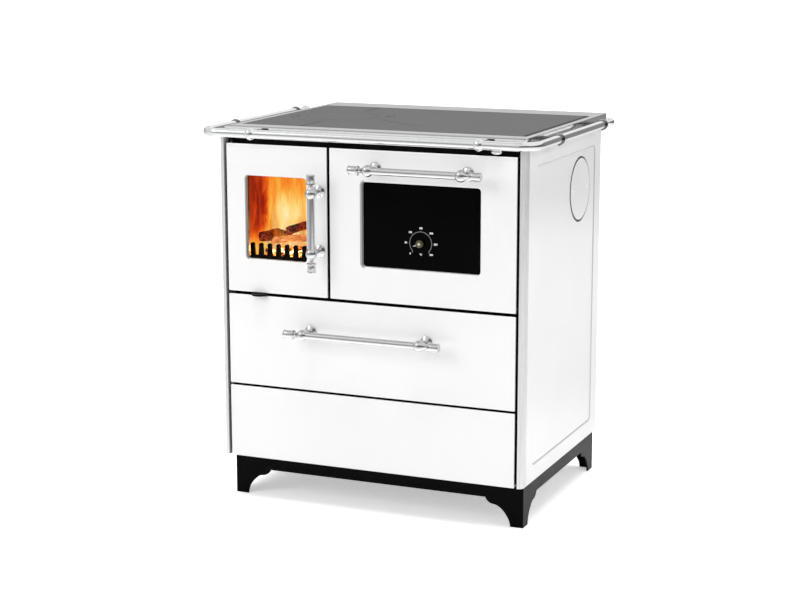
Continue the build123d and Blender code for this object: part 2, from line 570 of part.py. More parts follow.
# ====================================================== enamelled fronts
def front_panel(x0, x1, z0, z1, depth, window=None, back_lip=0.0):
    """Folded enamelled front with soft edges and an optional window."""
    slab(x0, x1, z0, z1, 0.0, depth, 2.0)
    ctx = BuildPart._get_context("front_panel")
    fillet(ctx.faces().sort_by(Axis.Y)[0].edges(), 1.6)
    slab(x0 + SHEET, x1 - SHEET, z0 + SHEET, z1 - SHEET, SHEET, depth - (SHEET if back_lip else 0), 1.5, Mode.SUBTRACT)
    if back_lip:
        slab(x0 + back_lip, x1 - back_lip, z0 + back_lip, z1 - back_lip, depth - 2, depth + 1, 4, Mode.SUBTRACT)
    if window:
        wx0, wx1, wz0, wz1 = window
        slab(wx0 - SHEET, wx1 + SHEET, wz0 - SHEET, wz1 + SHEET, 0.5, 10.0, 9.5)
        slab(wx0, wx1, wz0, wz1, -1.0, 11.0, 8.0, Mode.SUBTRACT)
        rim = [e for e in ctx.edges() if abs(e.center().Y - FRONT) < 0.05
               and wx0 - 1 < e.center().X < wx1 + 1 and wz0 - 1 < e.center().Z < wz1 + 1]
        fillet(rim, 1.4)


with BuildPart() as drawer_front:
    front_panel(-GAP_X, GAP_X, *DRAWER_Z, PANEL_D, back_lip=26.0)
save(drawer_front.part, "drawer_front")

with BuildPart() as lower_panel:
    front_panel(-GAP_X, GAP_X, *LOWER_Z, FRAME_PLATE[0], back_lip=26.0)
save(lower_panel.part, "lower_panel")

with BuildPart() as firebox_door_panel:
    front_panel(*DOOR_L, *DOOR_Z, PANEL_D, FB_WIN)
    disc(at(FB_HINGE[0], FB_HINGE[1], 470), (0, 0, 1), 3.0, 360, Mode.SUBTRACT)
save(firebox_door_panel.part, "firebox_door_panel")

with BuildPart() as oven_door_panel:
    front_panel(*DOOR_R, *DOOR_Z, PANEL_D, OV_WIN)
    disc((-100, FRONT + OV_HINGE[0], OV_HINGE[1]), (1, 0, 0), 3.0, 450, Mode.SUBTRACT)
save(oven_door_panel.part, "oven_door_panel")

# ---- glass, inner frames, rope seals
with BuildPart() as firebox_door_glass:
    slab(-303.0, -137.0, 548.4, 752.9, 10.0, 14.0, 3)
save(firebox_door_glass.part, "firebox_door_glass")

with BuildPart() as oven_door_glass:
    slab(-23.0, 270.0, 549.5, 752.9, 10.0, 14.0, 3)
    disc(at(DIAL_C[0], 8, DIAL_C[1]), (0, 1, 0), 4.2, 8, Mode.SUBTRACT)
save(oven_door_glass.part, "oven_door_glass")

with BuildPart() as firebox_door_liner:
    slab(-324.0, -118.0, 484.0, 809.0, 14.0, 22.0, 4)
    slab(-296.0, -144.0, 555.5, 746.0, 12.0, 24.0, 8, Mode.SUBTRACT)
save(firebox_door_liner.part, "firebox_door_liner")

with BuildPart() as oven_door_liner:
    slab(-76.0, 320.0, 498.0, 797.6, 14.0, 22.0, 4)
    slab(-5.0, 252.0, 568.0, 735.0, 12.0, 24.0, 8, Mode.SUBTRACT)
save(oven_door_liner.part, "oven_door_liner")


def rope_seal(x0, x1, z0, z1):
    slab(x0, x1, z0, z1, 22.0, 23.6, 8)
    slab(x0 + 6, x1 - 6, z0 + 6, z1 - 6, 21.0, 24.0, 4, Mode.SUBTRACT)


with BuildPart() as firebox_door_gasket:
    rope_seal(-321.5, -119.0, 484.6, 806.5)
save(firebox_door_gasket.part, "firebox_door_gasket")

with BuildPart() as oven_door_gasket:
    rope_seal(-75.0, 319.0, 498.6, 797.0)
save(oven_door_gasket.part, "oven_door_gasket")

# ---- hinges: pins fixed in each door, ears on the carcass
with BuildPart() as firebox_hinge_pins:
    hx, hd = FB_HINGE
    block(hx - 5.5, hx + 6.0, 3.5, 14.5, 795.0, 811.7)
    disc(at(hx, hd, 811.7), (0, 0, 1), 3.0, 7.3)
    block(hx - 5.5, hx + 6.0, 3.5, 14.5, 483.5, 502.0)
    disc(at(hx, hd, 477.4), (0, 0, 1), 3.0, 6.5)
save(firebox_hinge_pins.part, "firebox_hinge_pins")

with BuildPart() as oven_hinge_pins:
    block(-88.4, -77.0, 3.5, 14.5, OV_HINGE[1] - 5.5, OV_HINGE[1] + 6.0)
    disc((-94.9, FRONT + OV_HINGE[0], OV_HINGE[1]), (1, 0, 0), 3.0, 7.0)
    block(327.0, 339.15, 3.5, 14.5, OV_HINGE[1] - 5.5, OV_HINGE[1] + 6.0)
    disc((339.0, FRONT + OV_HINGE[0], OV_HINGE[1]), (1, 0, 0), 3.0, 6.6)
save(oven_hinge_pins.part, "oven_hinge_pins")

with BuildPart() as door_hinge_brackets:
    for z0, z1 in ((816.0, 819.0), (477.4, 480.4)):
        block(hx - 6.0, hx + 6.0, 3.0, 24.0, z0, z1)
        disc(at(hx, hd, z0 - 1), (0, 0, 1), 3.05, 6, Mode.SUBTRACT)
    for x0, x1 in ((-94.9, -91.6), (342.3, 345.6)):
        block(x0, x1, 3.0, 24.0, OV_HINGE[1] - 6.0, OV_HINGE[1] + 6.0)
        disc((x0 - 1, FRONT + OV_HINGE[0], OV_HINGE[1]), (1, 0, 0), 3.05, 6, Mode.SUBTRACT)
save(door_hinge_brackets.part, "door_hinge_brackets")

with BuildPart() as door_catches:
    # firebox door: roller in a housing beside the opening
    slab(-114.5, -101.5, 638.0, 666.0, 12.5, 24.0, 2)
    disc(at(-108.0, 12.5, 645.0), (0, 0, 1), 3.5, 14.0)
    # oven door: roller above the opening
    slab(108.0, 142.0, 799.5, 811.0, 12.5, 24.0, 2)
    disc(at(116.0, 12.5, 805.5), (1, 0, 0), 3.5, 18.0)
save(door_catches.part, "door_catches")

# ---- handles
FB_H = (-114.5, 652.0)      # firebox handle centre (x, z), bar upright
OV_H = (125.3, 774.0)
DR_H = (0.0, 403.5)
OFF = 42.0                  # bar axis in front of the panel

with BuildPart() as firebox_handle_bar:
    handle_bar(at(FB_H[0], -OFF, FB_H[1]), (0, 0, 1), 107.0, 65.5)
save(firebox_handle_bar.part, "firebox_handle_bar")
with BuildPart() as firebox_handle_mounts:
    for dz in (-65.5, 65.5):
        handle_mount(at(FB_H[0], -OFF, FB_H[1] + dz), (0, 0, 1), OFF)
save(firebox_handle_mounts.part, "firebox_handle_mounts")

with BuildPart() as oven_handle_bar:
    handle_bar(at(OV_H[0], -OFF, OV_H[1]), (1, 0, 0), 151.0, 106.0)
save(oven_handle_bar.part, "oven_handle_bar")
with BuildPart() as oven_handle_mounts:
    for dx in (-106.0, 106.0):
        handle_mount(at(OV_H[0] + dx, -OFF, OV_H[1]), (1, 0, 0), OFF)
save(oven_handle_mounts.part, "oven_handle_mounts")

with BuildPart() as drawer_handle_bar:
    handle_bar(at(DR_H[0], -OFF, DR_H[1]), (1, 0, 0), 183.5, 138.0)
save(drawer_handle_bar.part, "drawer_handle_bar")
with BuildPart() as drawer_handle_mounts:
    for dx in (-138.0, 138.0):
        handle_mount(at(DR_H[0] + dx, -OFF, DR_H[1]), (1, 0, 0), OFF)
save(drawer_handle_mounts.part, "drawer_handle_mounts")

# ---- thermometer in the oven window
with BuildPart() as thermometer_body:
    disc(at(DIAL_C[0], 9.2, DIAL_C[1]), (0, 1, 0), 6.5, 0.8)
    disc(at(DIAL_C[0], 10.0, DIAL_C[1]), (0, 1, 0), 4.2, 4.0)
    disc(at(DIAL_C[0], 14.0, DIAL_C[1]), (0, 1, 0), 15.0, 7.5)
    disc(at(DIAL_C[0], 8.0, DIAL_C[1]), (0, 1, 0), 1.55, 12.0, Mode.SUBTRACT)
save(thermometer_body.part, "thermometer_body")

with BuildPart() as thermometer_needle:
    disc(at(DIAL_C[0], 7.6, DIAL_C[1]), (0, 1, 0), 1.5, 11.4)
    with BuildSketch(facing(7.6)) as hand:
        with BuildLine():
            # points 22 degrees below the nine o'clock direction, room temperature
            ux, uz = math.sin(math.radians(247.5)), math.cos(math.radians(247.5))
            nx, nz = -uz, ux
            def P(r, w):
                return (DIAL_C[0] + ux * r + nx * w, DIAL_C[1] + uz * r + nz * w)
            Polyline(P(-7, 2.2), P(4, 2.4), P(18.5, 0.8), P(18.5, -0.8), P(4, -2.4), P(-7, -2.2), close=True)
        make_face()
    extrude(hand.sketch, amount=-0.8)
save(thermometer_needle.part, "thermometer_needle")

with BuildPart() as thermometer_knob:
    turned([(0, 0), (5.6, 0), (7.6, 0.7), (8.5, 2.2), (8.5, 5.4), (7.7, 6.2), (6.0, 6.6), (6.0, 8.6), (0, 8.6)],
           at(DIAL_C[0], -1.0, DIAL_C[1]), (0, 1, 0))
save(thermometer_knob.part, "thermometer_knob")

# ================================================================ drawer
with BuildPart() as drawer_box:
    block(-316.0, 316.0, 18.0, 490.0, 292.0, 452.0)
    block(-314.5, 314.5, 19.5, 488.5, 293.5, 455.0, Mode.SUBTRACT)
    # running bars on both sides
    block(-327.4, -316.0, 32.0, 490.0, 314.5, 333.5)
    block(316.0, 327.4, 32.0, 490.0, 314.5, 333.5)
save(drawer_box.part, "drawer_box")

with BuildPart() as drawer_runners:
    for sx in (-1, 1):
        a, b = sorted((sx * 320.0, sx * 333.0))
        block(a, b, 26.0, BODY_D, 312.0, 336.0)
        a, b = sorted((sx * 319.0, sx * 328.0))
        block(a, b, 25.0, BODY_D - 2.0, 314.0, 334.0, Mode.SUBTRACT)
save(drawer_runners.part, "drawer_runners")
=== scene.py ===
import json
import math
import random

import bpy
import numpy as np
from mathutils import Matrix, Vector
from mathutils import noise as mnoise


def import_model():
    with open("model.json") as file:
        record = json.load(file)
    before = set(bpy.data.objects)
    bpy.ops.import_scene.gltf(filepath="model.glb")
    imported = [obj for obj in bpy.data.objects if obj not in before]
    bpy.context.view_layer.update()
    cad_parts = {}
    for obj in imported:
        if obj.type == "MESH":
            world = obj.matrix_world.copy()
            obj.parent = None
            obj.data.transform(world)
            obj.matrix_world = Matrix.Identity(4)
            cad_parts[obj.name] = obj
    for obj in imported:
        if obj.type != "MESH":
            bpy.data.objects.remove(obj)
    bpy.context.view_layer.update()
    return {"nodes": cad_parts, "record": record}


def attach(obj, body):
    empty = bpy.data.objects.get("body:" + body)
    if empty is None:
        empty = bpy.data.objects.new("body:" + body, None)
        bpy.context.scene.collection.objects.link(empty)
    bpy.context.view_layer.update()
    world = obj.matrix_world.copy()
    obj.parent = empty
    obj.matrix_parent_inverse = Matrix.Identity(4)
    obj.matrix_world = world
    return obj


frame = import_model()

NODES = frame["nodes"]
SCENE = bpy.context.scene
RNG = random.Random(41)
FRONT = -0.2715          # y of the front face of the doors
MM = 0.001


# --------------------------------------------------------------- node graphs
class Mat:
    """Small helper round one node material. Coordinates are object space in mm."""

    def __init__(self, name, **principled):
        self.m = bpy.data.materials.new(name)
        self.m.use_nodes = True
        self.t = self.m.node_tree
        self.t.nodes.clear()
        self.out = self.t.nodes.new("ShaderNodeOutputMaterial")
        self.b = self.t.nodes.new("ShaderNodeBsdfPrincipled")
        self.t.links.new(self.b.outputs[0], self.out.inputs["Surface"])
        for k, v in principled.items():
            self.set(k.replace("_", " "), v)
        self._co = None

    def set(self, socket, v):
        s = self.b.inputs[socket]
        if hasattr(v, "is_output") or isinstance(v, bpy.types.NodeSocket):
            self.t.links.new(v, s)
        elif isinstance(v, (tuple, list)) and len(v) == 3:
            s.default_value = (*v, 1.0)
        else:
            s.default_value = v
        return self

    def n(self, kind, **props):
        node = self.t.nodes.new(kind)
        for k, v in props.items():
            setattr(node, k, v)
        return node

    def link(self, v, s):
        if isinstance(v, bpy.types.NodeSocket):
            self.t.links.new(v, s)
        elif v is not None:
            if isinstance(v, (tuple, list)) and len(v) == 3 and s.type == "RGBA":
                v = (*v, 1.0)
            s.default_value = v

    def co(self):
        if self._co is None:
            tc = self.n("ShaderNodeTexCoord")
            mp = self.n("ShaderNodeVectorMath", operation="SCALE")
            mp.inputs["Scale"].default_value = 1000.0
            self.t.links.new(tc.outputs["Object"], mp.inputs[0])
            self._co = mp.outputs[0]
        return self._co

    def scaled(self, sx, sy, sz, src=None, add=(0, 0, 0)):
        """Coordinates divided by the given feature sizes in mm."""
        mp = self.n("ShaderNodeMapping", vector_type="POINT")
        mp.inputs["Scale"].default_value = (1.0 / sx, 1.0 / sy, 1.0 / sz)
        mp.inputs["Location"].default_value = add
        self.t.links.new(src or self.co(), mp.inputs[0])
        return mp.outputs[0]

    def noise(self, size, detail=3.0, rough=0.5, distort=0.0, vec=None):
        """Noise with features of about size mm; size may be one number or three."""
        s = size if isinstance(size, (tuple, list)) else (size, size, size)
        nd = self.n("ShaderNodeTexNoise")
        nd.inputs["Scale"].default_value = 1.0
        nd.inputs["Detail"].default_value = detail
        nd.inputs["Roughness"].default_value = rough
        nd.inputs["Distortion"].default_value = distort
        self.t.links.new(self.scaled(*s, src=vec), nd.inputs["Vector"])
        return nd.outputs[0]

    def voronoi(self, size, feature="F1", out="Distance", rand=1.0, vec=None):
        s = size if isinstance(size, (tuple, list)) else (size, size, size)
        nd = self.n("ShaderNodeTexVoronoi", feature=feature)
        nd.inputs["Scale"].default_value = 1.0
        nd.inputs["Randomness"].default_value = rand
        self.t.links.new(self.scaled(*s, src=vec), nd.inputs["Vector"])
        return nd.outputs[out]

    def xyz(self, src=None):
        s = self.n("ShaderNodeSeparateXYZ")
        self.t.links.new(src or self.co(), s.inputs[0])
        return s.outputs[0], s.outputs[1], s.outputs[2]

    def math(self, op, a, b=None, c=None, clamp=False):
        nd = self.n("ShaderNodeMath", operation=op, use_clamp=clamp)
        for i, v in enumerate((a, b, c)):
            if v is not None:
                self.link(v, nd.inputs[i])
        return nd.outputs[0]

    def remap(self, v, a, b, c=0.0, d=1.0, smooth=False):
        nd = self.n("ShaderNodeMapRange", clamp=True)
        if smooth:
            nd.interpolation_type = "SMOOTHSTEP"
        self.link(v, nd.inputs["Value"])
        for k, w in (("From Min", a), ("From Max", b), ("To Min", c), ("To Max", d)):
            self.link(w, nd.inputs[k])
        return nd.outputs[0]

    def ramp(self, v, stops, interp="LINEAR"):
        nd = self.n("ShaderNodeValToRGB")
        nd.color_ramp.interpolation = interp
        el = nd.color_ramp.elements
        while len(el) > 1:
            el.remove(el[-1])
        for i, (p, c) in enumerate(stops):
            e = el[0] if i == 0 else el.new(p)
            e.position = p
            e.color = (*c, 1.0) if len(c) == 3 else c
        self.link(v, nd.inputs[0])
        return nd.outputs[0]

    def mix(self, fac, a, b, mode="MIX"):
        nd = self.n("ShaderNodeMix", data_type="RGBA", blend_type=mode)
        self.link(fac, nd.inputs["Factor"])
        self.link(a, nd.inputs[6])
        self.link(b, nd.inputs[7])
        return nd.outputs[2]

    def bump(self, height, dist, strength=1.0, normal=None):
        """dist is the height in mm of a full-scale step."""
        nd = self.n("ShaderNodeBump")
        nd.inputs["Strength"].default_value = strength
        nd.inputs["Distance"].default_value = dist * MM
        self.link(height, nd.inputs["Height"])
        if normal is not None:
            self.t.links.new(normal, nd.inputs["Normal"])
        return nd.outputs[0]


MATS = {}


def enamel(name="enamel_white", returns=False, field=False):
    m = Mat(name, IOR=1.52)
    m.b.inputs["Coat Weight"].default_value = 0.35
    m.b.inputs["Coat Roughness"].default_value = 0.05
    cloud = m.noise(180.0, 2.0)
    fine = m.noise((2.6, 2.6, 2.6), 2.0, 0.55)
    white = m.ramp(cloud, [(0.3, (0.905, 0.905, 0.9)), (0.7, (0.93, 0.93, 0.928))])
    if returns:
        # painted shade: near-black on the folded outer edges of the front panels, more than 3 mm in, for the shadow in
        # the gaps between panels
        x, y, z = m.xyz()
        return_shade = None
        for v, lines in ((x, (-340.65, -96.6, -89.9, 340.65)), (z, (99.4, 264.5, 269.8, 475.1, 482.0, 813.2))):
            for c in lines:
                e = m.remap(m.math("ABSOLUTE", m.math("SUBTRACT", v, c)), 0.7, 1.1, 1.0, 0.0)
                return_shade = e if return_shade is None else m.math("MAXIMUM", return_shade, e)
        depth = m.remap(m.math("ADD", y, 271.5), 2.6, 3.6, 0.0, 1.0, smooth=True)
        # painted shade on the left reveal of each window, where the bend into the opening falls in shadow
        for x0, x1, z0, z1, wide in ((-294.0, -146.0, 557.4, 743.9, 2.4), (-13.5, 260.5, 558.5, 743.9, 4.2)):
            wx = m.math("SUBTRACT", m.math("ABSOLUTE", m.math("SUBTRACT", x, (x0 + x1) / 2)), (x1 - x0) / 2 - 8.0)
            wz = m.math("SUBTRACT", m.math("ABSOLUTE", m.math("SUBTRACT", z, (z0 + z1) / 2)), (z1 - z0) / 2 - 8.0)
            ax, az = m.math("MAXIMUM", wx, 0.0), m.math("MAXIMUM", wz, 0.0)
            wd = m.math("SQRT", m.math("ADD", m.math("MULTIPLY", ax, ax), m.math("MULTIPLY", az, az)))
            wd = m.math("SUBTRACT", m.math("ADD", wd, m.math("MINIMUM", m.math("MAXIMUM", wx, wz), 0.0)), 8.0)
            reveal_shade = m.math("MULTIPLY", m.remap(wd, wide - 0.8, wide + 0.8, 1.0, 0.0, smooth=True), m.remap(x, x0 + 2.0, x0 + 9.0, 1.0, 0.0, smooth=True))
            reveal_shade = m.math("MULTIPLY", reveal_shade, m.math("GREATER_THAN", wd, -2.0))
            white = m.mix(reveal_shade, white, (0.40, 0.405, 0.415))
        # painted shadow of the panel gaps on the folded edges
        white = m.mix(m.math("MULTIPLY", return_shade, depth), white, (0.012, 0.012, 0.013))
    if field:
        # painted shade in the crease round the pressed field, stronger higher up, and round the outlet cover
        x, y, z = m.xyz()
        qy = m.math("SUBTRACT", m.math("ABSOLUTE", m.math("SUBTRACT", y, 2.0)), 195.5)
        qz = m.math("SUBTRACT", m.math("ABSOLUTE", m.math("SUBTRACT", z, 461.5)), 312.5)
        py, pz = m.math("MAXIMUM", qy, 0.0), m.math("MAXIMUM", qz, 0.0)
        out = m.math("SQRT", m.math("ADD", m.math("MULTIPLY", py, py), m.math("MULTIPLY", pz, pz)))
        sd = m.math("SUBTRACT", m.math("ADD", out, m.math("MINIMUM", m.math("MAXIMUM", qy, qz), 0.0)), 15.0)
        # band: painted shade line along the crease of the pressed field
        band = m.remap(m.math("ABSOLUTE", m.math("ADD", sd, 1.9)), 0.9, 2.3, 1.0, 0.0, smooth=True)
        white = m.mix(m.math("MULTIPLY", band, m.remap(z, 150.0, 760.0, 0.62, 1.0)), white, (0.44, 0.44, 0.445))
        # painted shade in the seam round the outlet cover, wider and darker on its front side
        dy = m.math("SUBTRACT", y, 107.5)
        dz = m.math("SUBTRACT", z, 699.0)
        r = m.math("SQRT", m.math("ADD", m.math("MULTIPLY", dy, dy), m.math("MULTIPLY", dz, dz)))
        seam_shade_width = m.remap(dy, -72.0, 72.0, 3.8, 1.2)
        ring = m.remap(m.math("ABSOLUTE", m.math("SUBTRACT", r, 72.0)), m.math("SUBTRACT", seam_shade_width, 0.6), m.math("ADD", seam_shade_width, 0.5), 1.0, 0.0)
        ring = m.math("MULTIPLY", ring, m.math("GREATER_THAN", x, 0.0))
        ring = m.math("MULTIPLY", ring, m.remap(dy, -10.0, 72.0, 1.0, 0.25))
        white = m.mix(ring, white, (0.05, 0.05, 0.052))
    m.set("Base Color", white)
    m.set("Roughness", m.remap(fine, 0.3, 0.7, 0.12, 0.19))
    peel = m.noise(5.5, 2.0, 0.45)
    m.set("Normal", m.bump(fine, 0.004, 0.6, m.bump(peel, 0.012, 0.7)))
    return m.m


def trim():
    m = Mat("trim_grey", Metallic=0.4, IOR=1.5)
    m.b.inputs["Anisotropic"].default_value = 0.45
    streak = m.noise((0.55, 0.55, 90.0), 4.0, 0.6)
    broad = m.noise((6.0, 6.0, 400.0), 2.0)
    mixed = m.math("ADD", m.math("MULTIPLY", streak, 0.6), m.math("MULTIPLY", broad, 0.4))
    m.set("Base Color", m.ramp(mixed, [(0.3, (0.66, 0.66, 0.663)), (0.55, (0.76, 0.76, 0.764)), (0.75, (0.86, 0.86, 0.862))]))
    m.set("Roughness", m.remap(streak, 0.3, 0.7, 0.24, 0.36))
    m.set("Normal", m.bump(streak, 0.01, 0.5))
    return m.m


def powder(name, base, rough, grain=0.9, height=0.03, spec=0.5, lift=0.004):
    m = Mat(name, IOR=1.48)
    m.b.inputs["Specular IOR Level"].default_value = spec
    g = m.noise(grain, 3.0, 0.6)
    c = m.noise(70.0, 3.0)
    hi = tuple(min(1.0, v * 1.7 + lift) for v in base)
    m.set("Base Color", m.ramp(c, [(0.3, base), (0.75, hi)]))
    m.set("Roughness", m.math("ADD", m.remap(g, 0.3, 0.7, rough - 0.06, rough + 0.06), m.remap(c, 0.3, 0.7, -0.03, 0.04)))
    m.set("Normal", m.bump(g, height, 0.6))
    return m.m


def zinc():
    m = Mat("zinc_sheet", Metallic=1.0)
    warp = m.noise(14.0, 2.0)
    cell = m.voronoi(11.0, out="Color")
    sep = m.n("ShaderNodeSeparateColor")
    m.t.links.new(cell, sep.inputs[0])
    feather = m.noise((1.2, 9.0, 1.2), 3.0, 0.6, 0.8)
    v = m.math("ADD", m.math("MULTIPLY", sep.outputs[0], 0.62), m.math("MULTIPLY", feather, 0.38))
    m.set("Base Color", m.ramp(v, [(0.15, (0.36, 0.375, 0.39)), (0.5, (0.5, 0.51, 0.525)), (0.85, (0.64, 0.65, 0.66))]))
    m.set("Roughness", m.math("ADD", m.remap(sep.outputs[1], 0, 1, 0.3, 0.48), m.remap(warp, 0.3, 0.7, -0.04, 0.06)))
    m.set("Normal", m.bump(v, 0.008, 0.5))
    return m.m


def screws():
    m = Mat("zinc_screws", Metallic=1.0)
    a = m.noise(2.4, 3.0, 0.6)
    m.set("Base Color", m.ramp(a, [(0.3, (0.46, 0.44, 0.38)), (0.6, (0.62, 0.61, 0.56)), (0.8, (0.7, 0.66, 0.5))]))
    m.set("Roughness", m.remap(a, 0.3, 0.7, 0.24, 0.4))
    m.set("Normal", m.bump(m.noise(0.6, 2.0), 0.01, 0.5))
    return m.m


def frame_steel():
    m = Mat("frame_steel", Metallic=1.0)
    x, y, z = m.xyz()
    along_x = m.noise((60.0, 0.35, 0.35), 3.0, 0.6)
    along_y = m.noise((0.35, 60.0, 0.35), 3.0, 0.6)
    ax = m.math("ABSOLUTE", x)
    side = m.math("GREATER_THAN", ax, 337.0)
    corner = m.math("GREATER_THAN", m.math("SUBTRACT", m.math("SUBTRACT", -259.5 + 337.0, 0.0), m.math("ADD", y, ax)), 0.0)
    brush = m.n("ShaderNodeMix", data_type="FLOAT")
    m.link(m.math("MULTIPLY", side, m.math("SUBTRACT", 1.0, corner)), brush.inputs[0])
    m.link(along_x, brush.inputs[2])
    m.link(along_y, brush.inputs[3])
    br = brush.outputs[0]
    haze = m.noise(45.0, 3.0)
    steel_c = m.ramp(br, [(0.25, (0.87, 0.87, 0.875)), (0.75, (0.92, 0.92, 0.925))])
    # darker band along the top of the front flange
    line = m.math("MULTIPLY", m.remap(m.math("ABSOLUTE", m.math("ADD", y, 271.5 - 17.5)), 8.0, 13.0, 1.0, 0.0, smooth=True),
                  m.math("GREATER_THAN", z, 848.9))
    m.set("Base Color", m.mix(m.math("MULTIPLY", line, 0.85), steel_c, (0.24, 0.24, 0.243)))
    flat_top = m.remap(z, 848.2, 849.7, 0.0, 1.0)
    fine = m.math("ADD", m.remap(br, 0.3, 0.7, 0.08, 0.12), m.remap(haze, 0.35, 0.7, 0.0, 0.03))
    bright = m.math("ADD", m.remap(br, 0.3, 0.7, 0.025, 0.05), m.remap(haze, 0.35, 0.7, 0.0, 0.015))
    m.set("Roughness", m.math("ADD", m.math("MULTIPLY", fine, flat_top), m.math("MULTIPLY", bright, m.math("SUBTRACT", 1.0, flat_top))))
    m.set("Normal", m.bump(br, 0.0008, 0.25))
    return m.m


def hob_iron():
    m = Mat("hob_iron", Metallic=0.0, IOR=1.45)
    fine = m.noise(0.7, 3.0, 0.65)
    grind = m.noise((38.0, 0.6, 4.0), 3.0, 0.6)
    cloud = m.noise(95.0, 3.0, 0.55)
    v = m.math("ADD", m.math("MULTIPLY", fine, 0.35), m.math("ADD", m.math("MULTIPLY", grind, 0.3), m.math("MULTIPLY", cloud, 0.35)))
    iron = m.ramp(v, [(0.32, (0.066, 0.066, 0.0675)), (0.5, (0.088, 0.088, 0.09)), (0.68, (0.114, 0.114, 0.116))])
    # painted shade along the outer edges of the plates, where the gap to the frame falls in shadow
    x, y, z = m.xyz()
    ex = m.remap(x, 321.0, 333.0, 0.0, 1.0, smooth=True)
    ey = m.remap(y, 229.0, 240.0, 0.0, 1.0, smooth=True)
    ef = m.remap(y, -203.0, -207.0, 0.0, 0.7, smooth=True)
    edge = m.math("MAXIMUM", m.math("MAXIMUM", ex, ey), ef)
    # soot along the joint between the two plates
    lx, ly = m.math("ADD", x, 191.0), m.math("SUBTRACT", y, 21.5)
    lr = m.math("SQRT", m.math("ADD", m.math("MULTIPLY", lx, lx), m.math("MULTIPLY", ly, ly)))
    joint = m.math("MULTIPLY", m.remap(m.math("ABSOLUTE", lx), 1.8, 4.2, 0.7, 0.0, smooth=True), m.math("GREATER_THAN", lr, 119.8))
    edge = m.math("MAXIMUM", edge, joint)
    # edge mixes painted shade at the plate rims with soot along the joint
    m.set("Base Color", m.mix(m.math("MULTIPLY", edge, 0.9), iron, (0.014, 0.014, 0.0145)))
    m.b.inputs["Specular IOR Level"].default_value = 0.18
    m.set("Roughness", m.remap(v, 0.35, 0.65, 0.5, 0.62))
    m.set("Normal", m.bump(fine, 0.012, 0.6, m.bump(grind, 0.006, 0.4)))
    return m.m


def chrome(name, tint=(0.86, 0.865, 0.87), rough=0.05, dull=0.06, painted_light=False):
    m = Mat(name, Metallic=1.0)
    haze = m.noise(7.0, 3.0, 0.55)
    wipe = m.noise((22.0, 2.0, 2.0), 3.0)
    plate = m.mix(m.remap(haze, 0.35, 0.75), tint, tuple(v * 0.93 for v in tint))
    if painted_light:
        # painted reflection: base colour brightest on faces that point down and greyer on faces that point up
        tc = m.n("ShaderNodeTexCoord")
        sep = m.n("ShaderNodeSeparateXYZ")
        m.t.links.new(tc.outputs["Normal"], sep.inputs[0])
        facing_light = m.ramp(m.remap(sep.outputs[2], -1.0, 1.0), [(0.0, (1.0, 1.0, 1.0)), (0.25, (0.97, 0.97, 0.97)), (0.42, (0.79, 0.79, 0.795)),
                      (0.55, (0.72, 0.72, 0.725)), (0.7, (0.76, 0.76, 0.765)), (0.9, (0.74, 0.74, 0.745)), (0.975, (0.6, 0.6, 0.605)), (1.0, (0.58, 0.58, 0.585))])
        plate = m.mix(1.0, plate, facing_light, "MULTIPLY")
    m.set("Base Color", plate)
    m.set("Roughness", m.math("ADD", m.remap(haze, 0.35, 0.75, rough, rough + dull), m.remap(wipe, 0.45, 0.75, 0.0, 0.03)))
    m.set("Normal", m.bump(m.noise(1.5, 2.0), 0.0015, 0.5))
    return m.m


def bracket_chrome():
    """Chrome of the rail brackets, with painted shade on the faces turned to the frame; the side brackets are a little
    rougher.
    """
    m = Mat("chrome_brackets", Metallic=1.0)
    x, y, z = m.xyz()
    haze = m.noise(7.0, 3.0, 0.55)
    bright = m.mix(m.remap(haze, 0.35, 0.75), (0.86, 0.865, 0.87), (0.8, 0.805, 0.81))
    side = m.math("GREATER_THAN", m.math("ABSOLUTE", x), 300.0)
    rear_shade = m.math("MULTIPLY", m.remap(m.math("ADD", y, 299.5), 0.5, 4.0, 0.0, 1.0, smooth=True), m.math("SUBTRACT", 1.0, side))
    top = m.remap(z, 847.0, 851.5, 1.0, 0.7, smooth=True)
    # painted shade: rear halves of the front brackets and the side brackets, strongest low down, stand in for their
    # reflection of the frame's shaded faces
    m.set("Base Color", m.mix(m.math("MAXIMUM", m.math("MULTIPLY", rear_shade, 0.9), m.math("MULTIPLY", m.math("MULTIPLY", side, top), 0.88)), bright, (0.05, 0.05, 0.052)))
    m.set("Roughness", m.math("ADD", m.remap(haze, 0.35, 0.75, 0.05, 0.11), m.math("MULTIPLY", side, 0.05)))
    m.set("Normal", m.bump(m.noise(1.5, 2.0), 0.0015, 0.5))
    return m.m


def knob_brass():
    """Tarnished turned knob with a painted highlight on its cap."""
    m = Mat("dial_knob", Metallic=0.5)
    x, y, z = m.xyz()
    dx, dz = m.math("SUBTRACT", x, 120.2), m.math("SUBTRACT", z, 616.5)
    r = m.math("SQRT", m.math("ADD", m.math("MULTIPLY", dx, dx), m.math("MULTIPLY", dz, dz)))
    wear = m.noise(2.2, 3.0, 0.6)
    painted_light = m.remap(m.math("ADD", r, m.math("MULTIPLY", m.math("SUBTRACT", wear, 0.5), 3.0)), 2.2, 3.6, 1.0, 0.0, smooth=True)
    dark = m.ramp(wear, [(0.35, (0.055, 0.048, 0.024)), (0.65, (0.16, 0.14, 0.075))])
    # painted highlight: bright spot on the cap of the knob
    m.set("Base Color", m.mix(painted_light, dark, (0.78, 0.75, 0.62)))
    m.set("Roughness", m.remap(wear, 0.3, 0.7, 0.22, 0.36))
    m.set("Normal", m.bump(wear, 0.01, 0.5))
    return m.m


